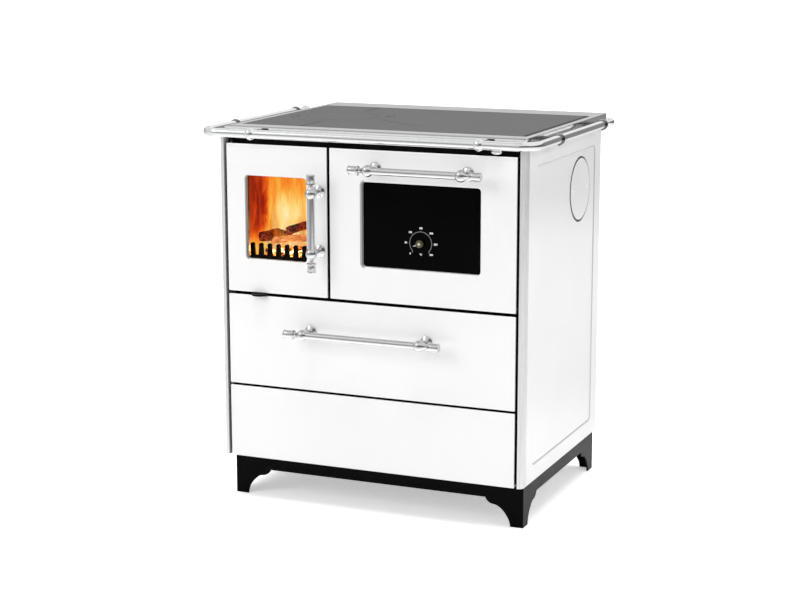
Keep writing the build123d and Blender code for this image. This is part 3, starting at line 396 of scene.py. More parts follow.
def stove_plate():
    m = Mat("stove_plate", Metallic=0.55, IOR=1.5)
    c = m.noise(60.0, 4.0, 0.6, 0.5)
    f = m.noise(1.4, 3.0, 0.6)
    m.set("Base Color", m.ramp(c, [(0.25, (0.05, 0.045, 0.042)), (0.5, (0.1, 0.094, 0.09)), (0.72, (0.13, 0.105, 0.088)), (0.85, (0.16, 0.16, 0.165))]))
    m.set("Roughness", m.remap(f, 0.3, 0.7, 0.5, 0.7))
    m.set("Normal", m.bump(f, 0.02, 0.5))
    return m.m


def liner_steel():
    """Dark heat-tinted sheet, bright on the cut edge round the window."""
    m = Mat("liner_steel", IOR=1.5)
    x, y, z = m.xyz()
    c = m.noise(60.0, 4.0, 0.6, 0.5)
    f = m.noise(1.4, 3.0, 0.6)
    ex = m.math("ABSOLUTE", m.math("SUBTRACT", m.math("ABSOLUTE", m.math("ADD", x, 220.0)), 76.0))
    ez = m.math("ABSOLUTE", m.math("SUBTRACT", m.math("ABSOLUTE", m.math("SUBTRACT", z, 650.75)), 95.25))
    edge = m.math("MULTIPLY", m.remap(m.math("MINIMUM", ex, ez), 0.3, 0.6, 1.0, 0.0), m.remap(z, 590.0, 670.0, 1.0, 0.12))
    dark = m.ramp(c, [(0.25, (0.02, 0.018, 0.017)), (0.5, (0.035, 0.032, 0.03)), (0.8, (0.06, 0.05, 0.045))])
    m.set("Base Color", m.mix(edge, dark, (0.9, 0.86, 0.8)))
    m.set("Metallic", m.math("ADD", m.math("MULTIPLY", edge, 0.6), 0.4))
    m.set("Roughness", m.math("SUBTRACT", m.remap(f, 0.3, 0.7, 0.5, 0.65), m.math("MULTIPLY", edge, 0.4)))
    m.set("Normal", m.bump(f, 0.01, 0.4))
    return m.m


def firebrick():
    m = Mat("firebrick", IOR=1.45)
    x, y, z = m.xyz()
    grain = m.noise(2.2, 4.0, 0.7)
    pits = m.voronoi(4.6)
    cloud = m.noise(55.0, 3.0)
    base = m.ramp(grain, [(0.25, (0.38, 0.24, 0.13)), (0.5, (0.55, 0.39, 0.23)), (0.75, (0.68, 0.52, 0.34))])
    # soot thickest low down by the embers and in patches
    low = m.remap(z, 560.0, 760.0, 0.85, 0.15)
    soot = m.math("MULTIPLY", m.remap(cloud, 0.38, 0.62, 0.35, 1.0), low, clamp=True)
    m.set("Base Color", m.mix(soot, base, (0.045, 0.03, 0.022)))
    m.set("Roughness", m.remap(grain, 0.3, 0.7, 0.82, 0.95))
    h = m.math("ADD", m.math("MULTIPLY", grain, 0.6), m.math("MULTIPLY", m.remap(pits, 0.0, 0.35), 0.4))
    m.set("Normal", m.bump(h, 0.35, 0.8))
    return m.m


def fire_iron():
    m = Mat("fire_iron", Metallic=0.2, IOR=1.45)
    s = m.noise(1.6, 4.0, 0.65)
    c = m.noise(26.0, 3.0)
    m.set("Base Color", m.ramp(c, [(0.3, (0.003, 0.0028, 0.0028)), (0.6, (0.007, 0.0064, 0.006)), (0.8, (0.018, 0.013, 0.011))]))
    m.b.inputs["Specular IOR Level"].default_value = 0.2
    m.set("Roughness", m.remap(s, 0.3, 0.7, 0.6, 0.85))
    m.set("Normal", m.bump(s, 0.12, 0.8))
    return m.m


def oven_enamel():
    m = Mat("oven_enamel", IOR=1.52)
    speck = m.voronoi(3.4)
    big = m.voronoi(7.5)
    pts = m.math("MAXIMUM", m.remap(speck, 0.0, 0.24, 1.0, 0.0), m.remap(big, 0.0, 0.13, 1.0, 0.0))
    cloud = m.noise(80.0, 3.0)
    dark = m.ramp(cloud, [(0.3, (0.012, 0.014, 0.02)), (0.7, (0.022, 0.025, 0.034))])
    m.set("Base Color", m.mix(pts, dark, (0.33, 0.36, 0.42)))
    m.set("Roughness", m.remap(cloud, 0.3, 0.7, 0.14, 0.24))
    m.set("Normal", m.bump(m.noise(4.0, 2.0), 0.015, 0.6))
    return m.m


def glass_mat(name, tint, edge_soot):
    """Clear stove glass: see-through with a Fresnel reflection, faint soot at the rim."""
    m = bpy.data.materials.new(name)
    m.use_nodes = True
    h = Mat.__new__(Mat)
    h.m, h.t, h._co = m, m.node_tree, None
    h.t.nodes.clear()
    out = h.n("ShaderNodeOutputMaterial")
    trans = h.n("ShaderNodeBsdfTransparent")
    trans.inputs["Color"].default_value = (*tint, 1.0)
    gloss = h.n("ShaderNodeBsdfPrincipled")
    gloss.inputs["Base Color"].default_value = (0.02, 0.015, 0.012, 1.0)
    gloss.inputs["Roughness"].default_value = 0.06
    h.link(h.remap(h.noise(30.0, 3.0), 0.3, 0.7, 0.03, 0.1), gloss.inputs["Roughness"])
    x, y, z = h.xyz()
    cx, cz, hx, hz = -220.0, 650.6, 74.0, 93.2
    ex = h.remap(h.math("ABSOLUTE", h.math("SUBTRACT", x, cx)), hx - edge_soot, hx, 0.0, 1.0)
    ez = h.remap(h.math("ABSOLUTE", h.math("SUBTRACT", z, cz)), hz - edge_soot, hz, 0.0, 1.0)
    rim = h.math("MAXIMUM", ex, ez)
    veil = h.math("MULTIPLY", h.math("MULTIPLY", rim, rim), h.remap(h.noise(12.0, 4.0, 0.6), 0.3, 0.7, 0.05, 0.3))
    fr = h.n("ShaderNodeFresnel")
    fr.inputs["IOR"].default_value = 1.25
    fac = h.math("ADD", h.math("MULTIPLY", fr.outputs[0], 0.9), h.math("ADD", veil, 0.006), clamp=True)
    mx = h.n("ShaderNodeMixShader")
    h.t.links.new(fac, mx.inputs[0])
    h.t.links.new(trans.outputs[0], mx.inputs[1])
    h.t.links.new(gloss.outputs[0], mx.inputs[2])
    h.t.links.new(mx.outputs[0], out.inputs["Surface"])
    return m


def oven_glass():
    m = Mat("oven_glass", IOR=1.2)
    m.b.inputs["Specular IOR Level"].default_value = 0.25
    c = m.noise(120.0, 2.0)
    m.set("Base Color", m.ramp(c, [(0.3, (0.0006, 0.0006, 0.0006)), (0.7, (0.0014, 0.0014, 0.0015))]))
    m.set("Roughness", m.remap(m.noise(35.0, 3.0), 0.35, 0.7, 0.03, 0.07))
    return m.m


def rope():
    m = Mat("rope_seal", IOR=1.4)
    b = m.noise((1.1, 1.1, 1.1), 3.0, 0.6)
    m.set("Base Color", m.ramp(b, [(0.25, (0.09, 0.088, 0.085)), (0.6, (0.24, 0.235, 0.225)), (0.8, (0.36, 0.35, 0.33))]))
    m.set("Roughness", 0.9)
    m.b.inputs["Sheen Weight"].default_value = 0.25
    m.set("Normal", m.bump(b, 0.3, 0.8))
    return m.m


def steel(name, base, rough, grain=1.2, metallic=1.0):
    m = Mat(name, Metallic=metallic)
    g = m.noise((grain * 14, grain, grain), 3.0, 0.6)
    c = m.noise(12.0, 2.0)
    m.set("Base Color", m.mix(m.remap(c, 0.35, 0.7), base, tuple(v * 0.82 for v in base)))
    m.set("Roughness", m.remap(g, 0.3, 0.7, rough - 0.05, rough + 0.07))
    m.set("Normal", m.bump(g, 0.006, 0.5))
    return m.m


MATS["enamel_white"] = enamel()
FRONT_ENAMEL = enamel("enamel_front", returns=True)
SIDE_ENAMEL = enamel("enamel_side", field=True)
LINER = liner_steel()
MATS["trim_grey"] = trim()
# painted light: the black plinth paint in two copies, a darker, duller one for the front and a lighter, glossier one
# for the side boards, for the light on the sides
MATS["black_plinth"] = powder("black_plinth", (0.001, 0.001, 0.001), 0.4, 1.1, 0.035, 0.045, 0.001)
PLINTH_SIDE_LIT = powder("plinth_side_lit", (0.004, 0.004, 0.0041), 0.4, 1.1, 0.035, 0.16)
MATS["carcass_black"] = powder("carcass_black", (0.0025, 0.0025, 0.0025), 0.6, 0.8, 0.03, 0.1)
MATS["zinc_sheet"] = zinc()
MATS["zinc_screws"] = screws()
MATS["frame_steel"] = frame_steel()
MATS["hob_iron"] = hob_iron()
MATS["chrome_rail"] = chrome("chrome_rail")
MATS["chrome_handles"] = chrome("chrome_handles", (0.87, 0.872, 0.876), 0.045, 0.05, painted_light=True)
MATS["damper_chrome"] = chrome("damper_chrome", (0.82, 0.822, 0.828), 0.08, 0.07)
MATS["oven_wire"] = chrome("oven_wire", (0.7, 0.695, 0.68), 0.16, 0.1)
MATS["stove_plate"] = stove_plate()
MATS["firebrick"] = firebrick()
MATS["fire_iron"] = fire_iron()
MATS["oven_enamel"] = oven_enamel()
MATS["fire_glass"] = glass_mat("fire_glass", (0.99, 0.985, 0.975), 5.0)
MATS["oven_glass"] = oven_glass()
MATS["rope_seal"] = rope()
MATS["hinge_steel"] = steel("hinge_steel", (0.5, 0.5, 0.5), 0.32)
MATS["dial_pointer"] = steel("dial_pointer", (0.72, 0.72, 0.7), 0.3, 0.8)
MATS["dial_knob"] = knob_brass()
BRACKETS = bracket_chrome()

for part in frame["record"]["subparts"]:
    ob = NODES[part["node"]]
    ob.data.materials.clear()
    front = part["node"] in ("firebox_door_panel", "oven_door_panel", "drawer_front", "lower_panel")
    side = part["node"] in ("side_panel_left", "side_panel_right", "flue_cover")
    mat = FRONT_ENAMEL if front else SIDE_ENAMEL if side else MATS[part["material_slot"]]
    if part["node"] == "firebox_door_liner":
        mat = LINER
    if part["node"] == "rail_brackets":
        mat = BRACKETS
    # side boards of the plinth take the lit copy of the black paint
    if part["node"] in ("plinth_left", "plinth_right"):
        mat = PLINTH_SIDE_LIT
    ob.data.materials.append(mat)
    for p in ob.data.polygons:
        p.material_index = 0


# ------------------------------------------------------------- mesh helpers
def new_mesh(name, verts, faces, mat, body, smooth=True):
    me = bpy.data.meshes.new(name)
    me.from_pydata([tuple(map(float, v)) for v in verts], [], [tuple(map(int, f)) for f in faces])
    me.validate()
    me.update()
    ob = bpy.data.objects.new(name, me)
    SCENE.collection.objects.link(ob)
    me.materials.append(mat)
    if smooth:
        for p in me.polygons:
            p.use_smooth = True
    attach(ob, body)
    return ob


def xyz_mm(x, d, z):
    """Point in metres from x, depth behind the door fronts, height, all in mm."""
    return Vector((x * MM, FRONT + d * MM, z * MM))


# ------------------------------------------------------------------ fire
def heat_nodes(m, wobble=1.0):
    """0..1 heat of the fire at a point: hottest low in the middle of the grate."""
    x, y, z = m.xyz()
    warp = m.noise((34.0, 34.0, 70.0), 3.0, 0.55, 0.6)
    lick = m.noise((13.0, 13.0, 62.0), 4.0, 0.6, 1.2)
    gx = m.math("DIVIDE", m.math("SUBTRACT", x, -236.0), 62.0)
    gy = m.math("DIVIDE", m.math("SUBTRACT", y, -271.5 + 165.0), 110.0)
    gz = m.math("DIVIDE", m.math("SUBTRACT", z, 600.0), 120.0)
    r2 = m.math("ADD", m.math("MULTIPLY", gx, gx), m.math("ADD", m.math("MULTIPLY", gy, gy), m.math("MULTIPLY", gz, gz)))
    core = m.math("POWER", 2.718, m.math("MULTIPLY", r2, -0.8))
    h = m.math("ADD", m.math("MULTIPLY", core, 0.75), m.math("MULTIPLY", m.math("SUBTRACT", lick, 0.5), 0.9 * wobble))
    return m.math("ADD", h, m.math("MULTIPLY", m.math("SUBTRACT", warp, 0.42), 0.8 * wobble))


FIRE_RAMP = [(0.0, (0.10, 0.004, 0.001)), (0.18, (0.36, 0.02, 0.005)), (0.34, (0.75, 0.07, 0.008)),
             (0.5, (1.0, 0.2, 0.014)), (0.66, (1.0, 0.42, 0.05)), (0.82, (1.0, 0.68, 0.2)), (1.0, (1.0, 0.86, 0.5))]


def flame_material(name, strength, density):
    m = Mat(name, IOR=1.0)
    m.set("Base Color", (0.0, 0.0, 0.0))
    m.b.inputs["Specular IOR Level"].default_value = 0.0
    m.set("Roughness", 1.0)
    at = m.n("ShaderNodeAttribute", attribute_name="fade")
    fade = at.outputs["Fac"]
    h = heat_nodes(m)
    m.set("Emission Color", m.ramp(h, FIRE_RAMP))
    m.set("Emission Strength", m.remap(h, 0.0, 1.0, strength * 0.45, strength * 1.5))
    wisp = m.noise((9.0, 9.0, 48.0), 3.0, 0.6, 1.0)
    a = m.math("MULTIPLY", fade, m.remap(wisp, 0.32, 0.62, 0.25, 1.0))
    m.set("Alpha", m.math("MULTIPLY", a, density, clamp=True))
    return m.m


def flame_sheet(name, x0, d0, x1, d1, z0, z1, mat, seed, nu=44, nv=40, wave=9.0, tongues=3):
    """One licking sheet of flame between two foot points, thin and closed."""
    rnd = random.Random(seed)
    ph = [rnd.uniform(0, 6.28) for _ in range(6)]
    tops = []
    for i in range(nu + 1):
        u = i / nu
        t = 0.0
        for k in range(tongues):
            c = (k + 0.5 + 0.25 * math.sin(ph[k % 6])) / tongues
            hgt = 0.7 + 0.3 * math.sin(ph[(k + 2) % 6] + k * 2.1)
            t = max(t, hgt * math.exp(-((u - c) / (0.42 / tongues)) ** 2))
        tops.append(0.25 + 0.75 * t)
    dirx, dird = x1 - x0, d1 - d0
    ln = math.hypot(dirx, dird)
    nx, nd = -dird / ln, dirx / ln
    verts, fade = [], []
    for side in (0.45, -0.45):
        for j in range(nv + 1):
            v = j / nv
            for i in range(nu + 1):
                u = i / nu
                hgt = (z1 - z0) * (tops[i] * v)
                sway = wave * v ** 1.2 * math.sin(ph[0] + 5.0 * v + 2.4 * u) + 0.5 * wave * v * math.sin(ph[1] + 9 * v - 5 * u)
                lean = 0.35 * wave * v * math.sin(ph[2] + 7 * v + 6 * u)
                x = x0 + dirx * u + nx * (sway + side) + dirx / ln * lean
                d = d0 + dird * u + nd * (sway + side) + dird / ln * lean
                verts.append(xyz_mm(x, d, z0 + hgt))
                edge = min(1.0, u * (1 - u) * 7.0)
                fade.append(max(0.0, edge * (1 - v) ** 0.9 * min(1.0, 0.35 + v * 4)))
    n1 = (nu + 1) * (nv + 1)
    faces = []
    for j in range(nv):
        for i in range(nu):
            a = j * (nu + 1) + i
            faces.append((a, a + 1, a + nu + 2, a + nu + 1))
            faces.append((n1 + a, n1 + a + nu + 1, n1 + a + nu + 2, n1 + a + 1))
    ring = [j * (nu + 1) for j in range(nv + 1)] + [nv * (nu + 1) + i for i in range(1, nu + 1)] + \
           [j * (nu + 1) + nu for j in range(nv - 1, -1, -1)] + [i for i in range(nu - 1, 0, -1)]
    for k in range(len(ring)):
        a, b = ring[k], ring[(k + 1) % len(ring)]
        faces.append((a, b, n1 + b, n1 + a))
    ob = new_mesh(name, verts, faces, mat, "stove")
    at = ob.data.attributes.new("fade", "FLOAT", "POINT")
    at.data.foreach_set("value", np.array(fade, np.float32))
    ob.visible_shadow = False
    return ob


def curtain_material():
    """The body of the fire behind the logs: deep red on the left, pale core in the middle."""
    m = Mat("flame_curtain", IOR=1.0)
    m.set("Base Color", (0.0, 0.0, 0.0))
    m.b.inputs["Specular IOR Level"].default_value = 0.0
    m.set("Roughness", 1.0)
    x, y, z = m.xyz()
    warp = m.noise((30.0, 30.0, 75.0), 3.0, 0.55, 0.5)
    lick = m.noise((9.0, 9.0, 85.0), 4.0, 0.6, 1.0)
    side = m.remap(m.math("ADD", x, m.math("MULTIPLY", m.math("SUBTRACT", warp, 0.5), 26.0)), -301.0, -284.0, 0.0, 1.0, smooth=True)
    gx = m.math("DIVIDE", m.math("SUBTRACT", x, -258.0), 34.0)
    gz = m.math("DIVIDE", m.math("SUBTRACT", z, 636.0), 56.0)
    core = m.math("POWER", 2.718, m.math("MULTIPLY", m.math("ADD", m.math("MULTIPLY", gx, gx), m.math("MULTIPLY", gz, gz)), -0.8))
    low = m.remap(z, 628.0, 566.0, 0.0, 1.0, smooth=True)
    h = m.math("ADD", 0.22, m.math("MULTIPLY", side, m.math("ADD", 0.31, m.math("MULTIPLY", core, 0.36))))
    h = m.math("ADD", h, m.math("MULTIPLY", low, m.math("SUBTRACT", 0.46, m.math("MULTIPLY", side, 0.22))))
    h = m.math("ADD", h, m.math("MULTIPLY", m.math("SUBTRACT", lick, 0.5), 0.42))
    h = m.math("ADD", h, m.math("MULTIPLY", m.math("SUBTRACT", warp, 0.5), 0.26), clamp=True)
    m.set("Emission Color", m.ramp(h, FIRE_RAMP))
    m.set("Emission Strength", m.remap(h, 0.0, 1.0, 0.85, 1.1))
    at = m.n("ShaderNodeAttribute", attribute_name="fade")
    m.set("Alpha", m.math("MULTIPLY", at.outputs["Fac"], 0.93, clamp=True))
    return m.m


def flame_curtain(name, path, z0, z1, mat, nv=46, per=12):
    """Thin closed curtain of flame over a bent foot line (x, d)."""
    foot = []
    n = len(path)
    for i in range(n - 1):
        p0, p1 = path[max(i - 1, 0)], path[i]
        p2, p3 = path[i + 1], path[min(i + 2, n - 1)]
        for k in range(per):
            t = k / per
            foot.append(tuple(0.5 * (2 * p1[c] + (p2[c] - p0[c]) * t + (2 * p0[c] - 5 * p1[c] + 4 * p2[c] - p3[c]) * t * t
                                     + (3 * p1[c] - p0[c] - 3 * p2[c] + p3[c]) * t ** 3) for c in (0, 1)))
    foot.append(tuple(path[-1]))
    nu = len(foot) - 1
    verts, fade = [], []
    for side in (0.5, -0.5):
        for j in range(nv + 1):
            v = j / nv
            for i, (fx, fd) in enumerate(foot):
                a, b = foot[max(i - 1, 0)], foot[min(i + 1, nu)]
                tx, td = b[0] - a[0], b[1] - a[1]
                ln = math.hypot(tx, td)
                keep = min(1.0, i / 8.0)
                sway = keep * (2.2 * math.sin(0.16 * i + 7.0 * v) + 1.4 * math.sin(0.37 * i - 11.0 * v)) * min(1.0, 3 * v)
                top = 1.0 - 0.06 * (0.5 + 0.5 * math.sin(0.33 * i + 1.3)) - 0.05 * (0.5 + 0.5 * math.sin(0.9 * i))
                verts.append(xyz_mm(fx - td / ln * (sway + side), fd + tx / ln * (sway + side), z0 + (z1 - z0) * v * top))
                fade.append(min(1.0, (1.0 - v) * 7.0) * min(1.0, (nu - i) / 6.0))
    n1 = (nu + 1) * (nv + 1)
    faces = []
    for j in range(nv):
        for i in range(nu):
            a = j * (nu + 1) + i
            faces.append((a, a + 1, a + nu + 2, a + nu + 1))
            faces.append((n1 + a, n1 + a + nu + 1, n1 + a + nu + 2, n1 + a + 1))
    ring = [j * (nu + 1) for j in range(nv + 1)] + [nv * (nu + 1) + i for i in range(1, nu + 1)] + \
           [j * (nu + 1) + nu for j in range(nv - 1, -1, -1)] + [i for i in range(nu - 1, 0, -1)]
    for k in range(len(ring)):
        a, b = ring[k], ring[(k + 1) % len(ring)]
        faces.append((a, b, n1 + b, n1 + a))
    ob = new_mesh(name, verts, faces, mat, "stove")
    at = ob.data.attributes.new("fade", "FLOAT", "POINT")
    at.data.foreach_set("value", np.array(fade, np.float32))
    ob.visible_shadow = False
    return ob


def log_material(name, glow):
    m = Mat(name, IOR=1.45)
    m.set("Roughness", 0.92)
    cells = m.voronoi((9.0, 9.0, 9.0), feature="DISTANCE_TO_EDGE")
    fine = m.noise(2.6, 4.0, 0.65)
    fib = m.noise((20.0, 20.0, 2.0), 3.0, 0.6)
    ash = m.remap(m.noise(15.0, 4.0, 0.6), 0.52, 0.72, 0.0, 0.7)
    body = m.ramp(fine, [(0.3, (0.012, 0.008, 0.007)), (0.6, (0.05, 0.026, 0.016)), (0.8, (0.11, 0.05, 0.028))])
    m.set("Base Color", m.mix(ash, body, (0.3, 0.24, 0.2)))
    crack = m.remap(cells, 0.0, 0.16, 1.0, 0.0)
    patch = m.remap(m.noise(28.0, 3.0), 0.38, 0.62, 0.15, 1.0)
    g = m.math("ADD", m.math("MULTIPLY", m.math("MULTIPLY", crack, patch), glow), m.math("MULTIPLY", patch, glow * 0.16))
    m.set("Emission Color", m.ramp(g, [(0.0, (0.5, 0.02, 0.004)), (0.5, (1.0, 0.12, 0.01)), (1.0, (1.0, 0.45, 0.08))]))
    m.set("Emission Strength", m.math("MULTIPLY", g, 2.2))
    m.set("Normal", m.bump(m.math("ADD", m.math("MULTIPLY", m.remap(cells, 0.0, 0.3), 0.7), m.math("MULTIPLY", fib, 0.3)), 1.2, 0.9))
    return m.m


def log(name, a, b, r, seed, mat, ns=56, nl=60):
    """Burning log between two points: ridged bark, one split face, ragged ends."""
    a, b = xyz_mm(*a), xyz_mm(*b)
    ax = (b - a)
    ln = ax.length
    ax.normalize()
    up = Vector((0, 0, 1))
    e1 = ax.cross(up).normalized()
    e2 = e1.cross(ax).normalized()
    r *= MM
    verts, faces = [], []
    off = Vector((seed * 7.3, seed * 1.7, seed * 3.1))
    for i in range(nl + 1):
        t = i / nl
        bow = 0.05 * ln * math.sin(math.pi * t + seed)
        c = a + ax * (ln * t) + e2 * bow * 0.4
        endr = 1.0 - 0.10 * (abs(2 * t - 1) ** 14)
        for j in range(ns):
            th = 2 * math.pi * j / ns
            ridge = 0.055 * math.sin(9 * th + 2.0 * mnoise.noise(off + Vector((t * 5, 0, 0))))
            lump = 0.16 * mnoise.noise(off + Vector((t * ln * 40, math.cos(th) * 1.4, math.sin(th) * 1.4)))
            fine = 0.06 * mnoise.noise(off + Vector((t * ln * 190, math.cos(th) * 6, math.sin(th) * 6)))
            flat = min(1.0, 0.72 / max(0.2, math.cos(th - 1.1 - seed))) if math.cos(th - 1.1 - seed) > 0.72 else 1.0
            rr = r * endr * flat * (1 + ridge + lump + fine)
            ragged = 0.0
            if i in (0, nl):
                ragged = 0.004 * mnoise.noise(off + Vector((math.cos(th) * 3, math.sin(th) * 3, t)))
            verts.append(c + ax * ragged + (e1 * math.cos(th) + e2 * math.sin(th)) * rr)
    for i in range(nl):
        for j in range(ns):
            k = (j + 1) % ns
            faces.append((i * ns + j, i * ns + k, (i + 1) * ns + k, (i + 1) * ns + j))
    for i, flip in ((0, True), (nl, False)):
        c = len(verts)
        ctr = sum((verts[i * ns + j] for j in range(ns)), Vector()) / ns
        rings = 4
        base = [i * ns + j for j in range(ns)]
        prev = base
        for q in range(1, rings):
            cur = []
            for j in range(ns):
                p = verts[base[j]].lerp(ctr, q / rings)
                p = p + ax * (0.0016 * math.sin(q * 2.6) + 0.001 * mnoise.noise(off + p * 300))
                cur.append(len(verts))
                verts.append(p)
            for j in range(ns):
                k = (j + 1) % ns
                f = (prev[j], prev[k], cur[k], cur[j])
                faces.append(f[::-1] if not flip else f)
            prev = cur
        c = len(verts)
        verts.append(ctr)
        for j in range(ns):
            k = (j + 1) % ns
            f = (prev[j], prev[k], c)
            faces.append(f[::-1] if not flip else f)
    return new_mesh(name, verts, faces, mat, "stove")


def ember_material():
    m = Mat("embers", IOR=1.4)
    m.set("Roughness", 0.95)
    cells = m.voronoi(12.0, feature="DISTANCE_TO_EDGE")
    cc = m.voronoi(12.0, out="Color")
    sep = m.n("ShaderNodeSeparateColor")
    m.t.links.new(cc, sep.inputs[0])
    fine = m.noise(3.0, 4.0, 0.65)
    m.set("Base Color", m.ramp(fine, [(0.3, (0.02, 0.012, 0.01)), (0.6, (0.12, 0.07, 0.05)), (0.8, (0.34, 0.3, 0.27))]))
    hot = m.math("ADD", m.math("MULTIPLY", m.remap(cells, 0.0, 0.3, 1.0, 0.0), 0.55), m.math("MULTIPLY", sep.outputs[0], 0.6))
    hot = m.math("MULTIPLY", hot, m.remap(m.noise(40.0, 2.0), 0.3, 0.6, 0.55, 1.15))
    m.set("Emission Color", m.ramp(hot, [(0.0, (0.35, 0.012, 0.002)), (0.4, (1.0, 0.13, 0.01)), (0.75, (1.0, 0.45, 0.07)), (1.0, (1.0, 0.85, 0.45))]))
    m.set("Emission Strength", m.math("MULTIPLY", m.math("MULTIPLY", hot, hot), 5.0))
    m.set("Normal", m.bump(cells, 1.5, 0.9))
    return m.m


def ember_bed():
    """Heap of coals over the grate, closed underneath."""
    x0, x1, d0, d1 = -306.0, -136.0, 44.0, 434.0
    nx, ny = 72, 150
    verts, faces = [], []
    for j in range(ny + 1):
        for i in range(nx + 1):
            u, v = i / nx, j / ny
            x, d = x0 + (x1 - x0) * u, d0 + (d1 - d0) * v
            edge = min(1.0, 9 * u * (1 - u)) * min(1.0, 9 * v * (1 - v))
            q = Vector((x / 26.0, d / 26.0, 3.0))
            h = 5.0 + edge * (15.0 + 9.0 * mnoise.noise(q * 0.6) + 7.0 * abs(mnoise.noise(q * 1.6)) + 2.4 * mnoise.noise(q * 5.0))
            verts.append(xyz_mm(x, d, 541.4 + max(1.0, h)))
    top = len(verts)
    for j in range(ny + 1):
        for i in range(nx + 1):
            v = verts[j * (nx + 1) + i]
            verts.append(Vector((v.x, v.y, 541.3 * MM)))
    W = nx + 1
    for j in range(ny):
        for i in range(nx):
            a = j * W + i
            faces.append((a, a + 1, a + W + 1, a + W))
            faces.append((top + a, top + a + W, top + a + W + 1, top + a + 1))
    ring = [i for i in range(W)] + [j * W + nx for j in range(1, ny + 1)] + [ny * W + i for i in range(nx - 1, -1, -1)] + [j * W for j in range(ny - 1, 0, -1)]
    for k in range(len(ring)):
        a, b = ring[k], ring[(k + 1) % len(ring)]
        faces.append((b, a, top + a, top + b))
    return new_mesh("ember_bed", verts, faces, ember_material(), "stove")


def coal(name, c, r, seed, mat):
    import bmesh
    bm = bmesh.new()
    bmesh.ops.create_icosphere(bm, subdivisions=3, radius=r * MM)
    off = Vector((seed * 3.7, seed * 5.1, seed))
    for v in bm.verts:
        n = v.co.normalized()
        s = 1 + 0.34 * mnoise.noise(off + n * 1.3) + 0.16 * abs(mnoise.noise(off + n * 3.6))
        v.co = Vector((n.x, n.y * 0.85, n.z * 0.72)) * r * MM * s
        v.co += xyz_mm(*c)
    me = bpy.data.meshes.new(name)
    bm.to_mesh(me)
    bm.free()
    ob = bpy.data.objects.new(name, me)
    SCENE.collection.objects.link(ob)
    me.materials.append(mat)
    for p in me.polygons:
        p.use_smooth = True
    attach(ob, "stove")
    return ob


EMBER = ember_bed().data.materials[0]
for k in range(26):
    cx = RNG.uniform(-298, -144)
    cd = RNG.uniform(52, 420)
    coal("coal_%02d" % k, (cx, cd, 559 + RNG.uniform(-3, 6)), RNG.uniform(7, 13), k + 1, EMBER)
CHAR = log_material("charred_log", 0.3)
CHAR2 = log_material("burning_log", 0.8)


def glowing_material():
    m = Mat("glowing_log", IOR=1.4)
    m.set("Roughness", 0.9)
    f = m.noise((16.0, 5.0, 3.0), 4.0, 0.6)
    m.set("Base Color", m.ramp(f, [(0.3, (0.2, 0.07, 0.03)), (0.7, (0.5, 0.26, 0.12))]))
    m.set("Emission Color", m.ramp(f, [(0.3, (0.5, 0.06, 0.012)), (0.5, (0.86, 0.24, 0.05)), (0.68, (1.0, 0.46, 0.14))]))
    m.set("Emission Strength", m.remap(f, 0.3, 0.7, 0.55, 0.95))
    m.set("Normal", m.bump(f, 1.0, 0.8))
    return m.m


PALE = glowing_material()
log("log_back", (-296, 330, 585), (-150, 360, 592), 27, 1.0, CHAR2)
log("log_left", (-287, 60, 594), (-262, 250, 596), 12.0, 2.2, CHAR)
log("log_right", (-164, 110, 585), (-190, 300, 590), 20, 3.1, CHAR2)
log("log_across", (-272, 96, 602), (-226, 88, 605), 5.0, 4.6, CHAR)
log("log_high", (-229, 72, 613), (-186, 112, 624), 9.5, 5.3, CHAR)
log("log_pale", (-258, 60, 591), (-180, 74, 600), 7.5, 6.4, PALE)



def fence_lip():
    """Thin lip along the foot of the log fence, in front of the teeth."""
    prof = [(31.2, 548.0), (32.7, 548.0), (32.7, 560.9), (32.3, 561.5), (31.6, 561.5), (31.2, 560.9)]
    xs = [-322.0, -116.0]
    verts = [xyz_mm(x, d, z) for x in xs for d, z in prof]
    n = len(prof)
    faces = [tuple(range(n)), tuple(range(2 * n - 1, n - 1, -1))]
    faces += [(i, i + n, (i + 1) % n + n, (i + 1) % n) for i in range(n)]
    return new_mesh("fence_lip", verts, faces, MATS["fire_iron"], "stove", smooth=False)


fence_lip()

FL_A = flame_material("flame_bright", 0.9, 0.5)
FL_B = flame_material("flame_deep", 0.8, 0.85)
flame_curtain("flame_curtain_front", [(-309.2, 45.5), (-304, 70), (-292, 100), (-276, 128), (-252, 150), (-220, 165), (-180, 172), (-135, 175)],
              546, 792, curtain_material())
flame_sheet("flame_back_1", -306, 372, -138, 380, 556, 775, FL_B, 11, tongues=4)
flame_sheet("flame_mid_1", -304, 240, -142, 260, 556, 765, FL_A, 13, tongues=3)
flame_sheet("flame_lick_1", -300, 84, -160, 96, 560, 690, FL_A, 14, tongues=5, wave=5.0)
flame_sheet("flame_left_1", -304, 200, -303, 430, 556, 780, FL_B, 16, tongues=5, wave=3.0)
flame_sheet("flame_right_1", -139, 90, -138, 400, 556, 760, FL_B, 18, tongues=5, wave=3.0)

# ----------------------------------------------------------- dial print
def ink(name, lo, hi):
    m = Mat(name, IOR=1.45)
    g = m.noise(0.5, 3.0, 0.6)
    m.set("Base Color", m.ramp(g, [(0.25, (lo, lo, lo)), (0.6, (hi, hi, hi))]))
    m.set("Roughness", m.remap(g, 0.3, 0.7, 0.45, 0.6))
    return m.m


INK = ink("dial_print", 0.72, 0.88)
INK_LINE = ink("dial_print_line", 0.13, 0.2)
DC = (120.2, 616.5)


